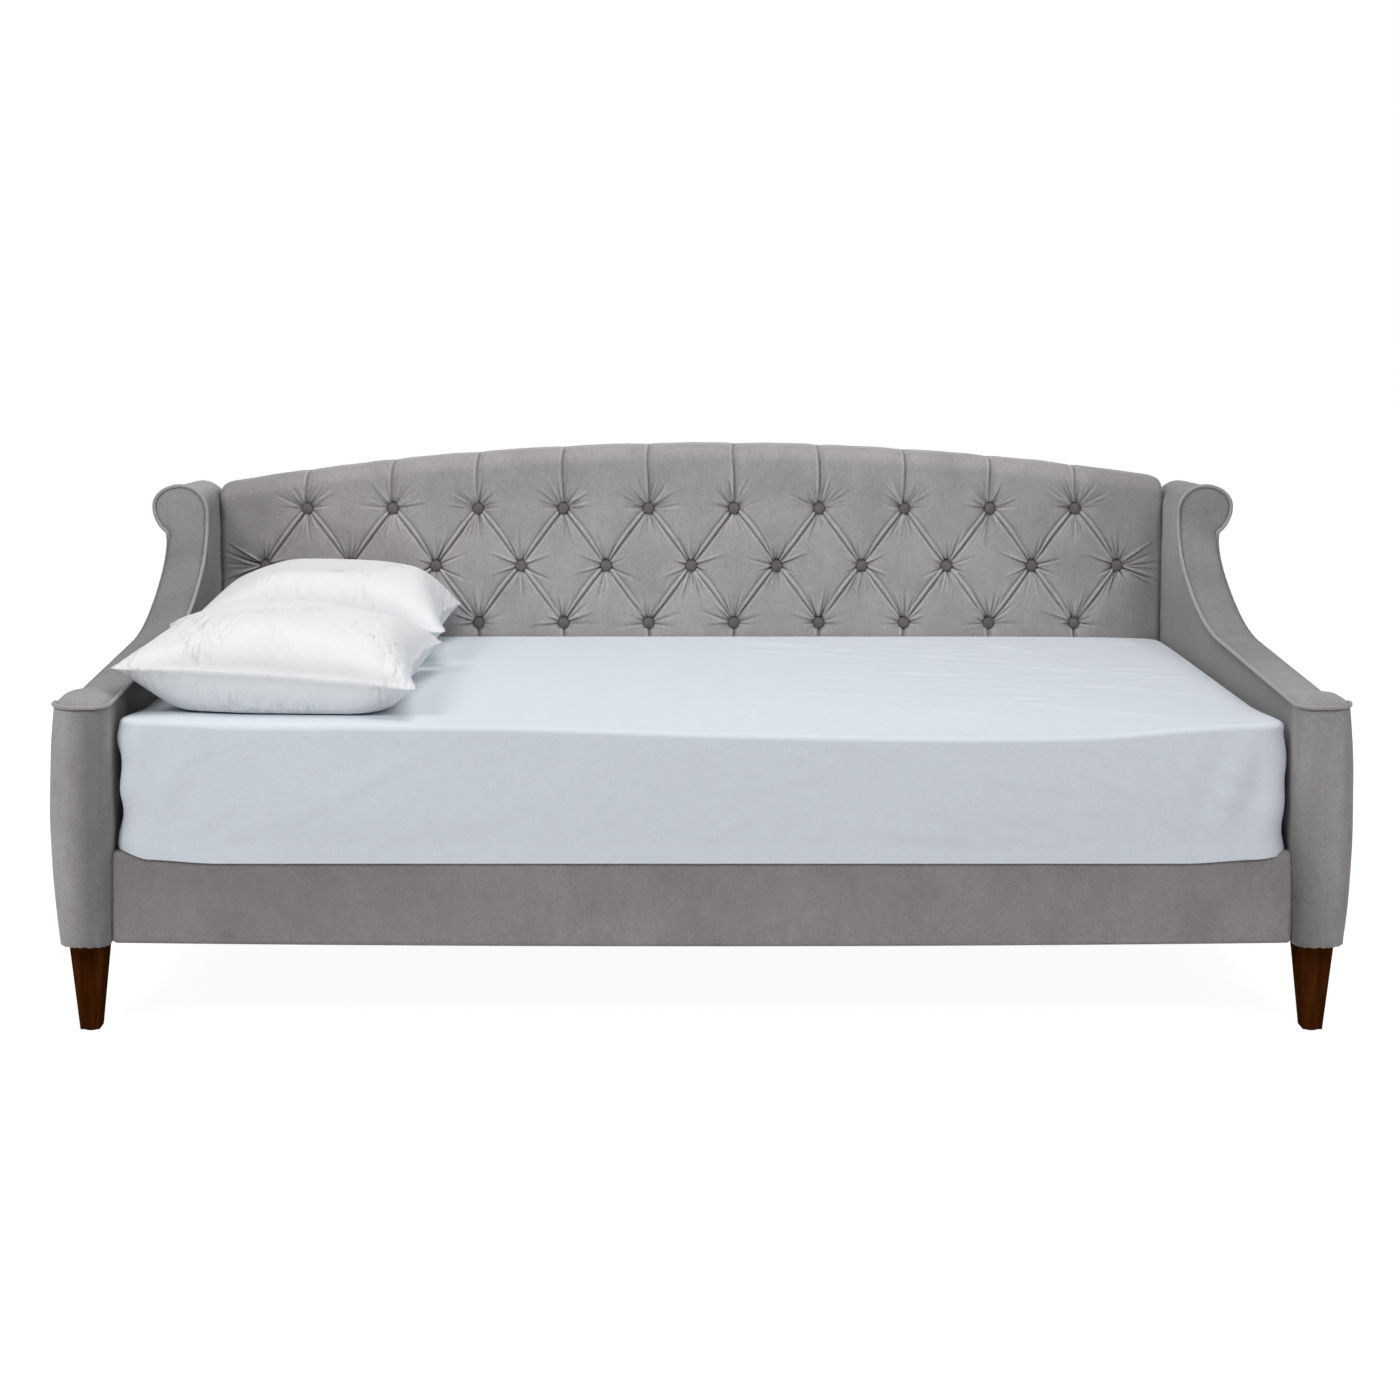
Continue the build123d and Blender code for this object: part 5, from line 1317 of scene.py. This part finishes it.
def inflate(made, pressure, stiffness, bending, mass, thickness):
    """Fills a sewn bag by cloth simulation up to a thickness and returns the filled shape's points."""
    cloth = made.modifiers.new("Filling", "CLOTH")
    settings = {**CLOTH_SETTINGS, "mass": mass, "bending_stiffness": bending, "uniform_pressure_force": pressure}
    settings |= {"tension_stiffness": stiffness, "compression_stiffness": stiffness}
    for label, value in settings.items():
        setattr(cloth.settings, label, value)
    cloth.settings.effector_weights.gravity = 0
    cloth.point_cache.frame_start = 1
    cloth.point_cache.frame_end = MOST_FRAMES
    for number in range(1, MOST_FRAMES + 1):
        bpy.context.scene.frame_set(number)
        filled = made.evaluated_get(bpy.context.evaluated_depsgraph_get())
        points = read(filled.data.vertices, "co", 3)
        if np.ptp(points[:, 2]) >= thickness:
            break
    made.modifiers.remove(cloth)
    bpy.context.scene.frame_set(1)
    return points.astype(float)


PILLOW_SINK = 12 * MM
PILLOW_CUT = 1.18
SEAM_OUT = 4.5 * MM
RELAX_ROUNDS = 24
SEAM_BAND = 50 * MM
PILLOW_TRIM = 8 * MM
UNDER_THIN = 0.32
LEFT_THIN = 0.4
BED_CLEAR = 1.5 * MM
PRESS_SOFT = 5 * MM
ON_SEAM = 0.001 * MM


def relaxed(points, pairs, on_seam):
    """Points drawn towards the mean of their neighbours, round after round; seam points only along the seam."""
    start, end = np.concatenate([pairs, pairs[:, ::-1]]).T
    weight = (~on_seam[start] | on_seam[end]).astype(float)
    count = np.bincount(start, weight)[:, None]
    for _ in range(RELAX_ROUNDS):
        sums = [np.bincount(start, weight * points[end, axis]) for axis in range(3)]
        points = 0.5 * points + 0.5 * np.stack(sums, axis=1) / count
    return points


def pillow(name, cells, lift, tilt, spill, drop, rise, filling):
    """A filled pillow fitted to its place: thinned towards its ends, tilted up at the left, reaching further left
    and forward by the spill, lowered by the drop, flattened where it lies on the bed, with its seam raised
    and drawn out to a sharp edge."""
    low, high = corners(name)
    low = low - np.array([*spill, 0])
    high = high - np.array([PILLOW_TRIM, spill[1] / 2, drop])
    span = high - low
    bag = pillow_bag(span[0] * PILLOW_CUT, span[1] * PILLOW_CUT, *cells, lift)
    made = piece(f"{name}_filled", list(bag), pillow_cotton, closed=True)
    mesh = made.data
    flat = read(mesh.vertices, "co", 3).astype(float)
    on_seam = np.abs(flat[:, 2]) < ON_SEAM
    pairs = read(mesh.edges, "vertices", 2, np.int32)
    points = relaxed(inflate(made, **filling), pairs, on_seam)
    middle = (points.max(0) + points.min(0)) / 2
    points = (points - middle) / (points.max(0) - points.min(0))
    x, y, z = (points * (span + np.array([0, 0, 2 * PILLOW_SINK]))).T
    under = 1 - UNDER_THIN * smoothstep((2 * np.abs(points[:, 0]) - 0.5) / 0.5)
    over = 1 - LEFT_THIN * smoothstep((-2 * points[:, 0] - 0.25) / 0.75)
    z = z * np.where(z < 0, under, over)
    z = z + rise * bell(z, SEAM_BAND) - x / span[0] * tilt
    out = 1 + on_seam * SEAM_OUT / np.hypot(x, y)
    x, y = x * out + (low[0] + high[0]) / 2, y * out + (low[1] + high[1]) / 2
    z = z - z.max() + high[2]
    bed = bed_height(x, y) + BED_CLEAR
    z = bed + PRESS_SOFT * np.logaddexp(0, (z - bed) / PRESS_SOFT)
    mesh.vertices.foreach_set("co", stack(x, y, z).astype(np.float32).ravel())
    sharp = on_seam[pairs].all(axis=1).astype(np.float32)
    mesh.attributes.new("crease_edge", "FLOAT", "EDGE").data.foreach_set("value", sharp)
    mesh.update()
    finer = made.modifiers.new("Smooth", "SUBSURF")
    finer.levels = finer.render_levels = 1
    place(made, [name], body=name)


FIRM = {"pressure": 4, "stiffness": 25, "bending": 0.6, "mass": 0.2, "thickness": 165 * MM}
SOFT = {"pressure": 4, "stiffness": 20, "bending": 0.2, "mass": 0.2, "thickness": 150 * MM}
pillow("front_pillow", (66, 62), 18 * MM, 36 * MM, (10 * MM, 46 * MM), -2 * MM, 13 * MM, FIRM)
pillow("rear_pillow", (66, 52), 24 * MM, 10 * MM, (0, 0), 10 * MM, 0, SOFT)


# Stage, light and camera

PHOTO_SIZE = 1400
FOCAL_PIXELS = 2265.0
AXIS_U = 650.0
HORIZON_V = 269.0
SENSOR = 36.0
CAMERA_PLACE = (-0.0845, -4.155, 1.254)
CAMERA_PITCH = math.radians(3.65)
AMBIENT = 0.2
FLOOR_HALF = 30.0
FLOOR_GLOW, GLOW_SHARE = 1.5, 0.62
LIGHTS = {
    "left_light": ((-2.3, -2.6, 2.8), (0, 0, 0.5), 1.2, 54),
    "right_light": ((2.0, -2.8, 2.8), (0, 0, 0.5), 1.2, 35),
    "top_light": ((0.0, -0.2, 3.2), (0, 0.1, 0.5), 1.6, 39),
    "rear_light": ((0.0, 3.6, 1.2), (0, 0.5, 0.5), 1.5, 40),
}


def camera():
    """The camera at the picture's place; the shift puts its axis and horizon where the framing has them."""
    data = bpy.data.cameras.new("camera")
    data.sensor_width = SENSOR
    data.lens = FOCAL_PIXELS / PHOTO_SIZE * SENSOR
    data.shift_x = (PHOTO_SIZE / 2 - AXIS_U) / PHOTO_SIZE
    drop = PHOTO_SIZE / 2 - HORIZON_V - FOCAL_PIXELS * math.tan(CAMERA_PITCH)
    data.shift_y = -drop / PHOTO_SIZE
    made = linked("camera", data)
    made.location = CAMERA_PLACE
    made.rotation_euler = (pi / 2 - CAMERA_PITCH, 0, 0)
    bpy.context.scene.camera = made


def softbox(name, where, target, size, power):
    """A square soft light at a place, aimed at a target."""
    data = bpy.data.lights.new(name, "AREA")
    data.shape = "SQUARE"
    data.size = size
    data.energy = power
    made = linked(name, data)
    made.location = where
    aim = np.array(target) - np.array(where)
    flat = math.hypot(aim[0], aim[1])
    made.rotation_euler = (math.atan2(flat, -aim[2]), 0, math.atan2(aim[1], aim[0]) - pi / 2)
    made.visible_camera = False


def seen_directly(tree):
    """1 for rays from the camera, or that mirror or pass to it, and 0 for rays that carry light."""
    path, most = node(tree, "ShaderNodeLightPath").outputs, maths(tree, "MAXIMUM")
    return most(most(path["Is Camera Ray"], path["Is Glossy Ray"]), path["Is Transmission Ray"])


def studio():
    """A white surround, a pale floor that keeps the shadow, and soft lights from left, right, above and behind."""
    world = bpy.data.worlds.new("surround")
    bpy.context.scene.world = world
    world.use_nodes = True
    tree = world.node_tree
    strength = ranged(tree, seen_directly(tree), AMBIENT, 1.0, 0.0, 1.0)
    background = tree.nodes["Background"]
    background.inputs["Color"].default_value = (1, 1, 1, 1)
    tree.links.new(strength, background.inputs["Strength"])
    ends = np.array([-FLOOR_HALF, FLOOR_HALF])
    floor = make_mesh("floor", [stack(ends[None, :], ends[:, None], 0)])
    finish, tree, shader = principled("pale_floor", {"Base Color": (0.8, 0.8, 0.8, 1), "Roughness": 0.9})
    glow = node(tree, "ShaderNodeEmission", {"Strength": FLOOR_GLOW})
    share = maths(tree, "MULTIPLY")(seen_directly(tree), GLOW_SHARE)
    mix = node(tree, "ShaderNodeMixShader", {0: share, 1: shader.outputs[0], 2: glow.outputs[0]})
    tree.links.new(mix.outputs[0], tree.nodes["Material Output"].inputs["Surface"])
    floor.materials.append(finish)
    linked("floor", floor)
    for name, values in LIGHTS.items():
        softbox(name, *values)


camera()
studio()
bpy.context.scene.view_settings.view_transform = "Standard"
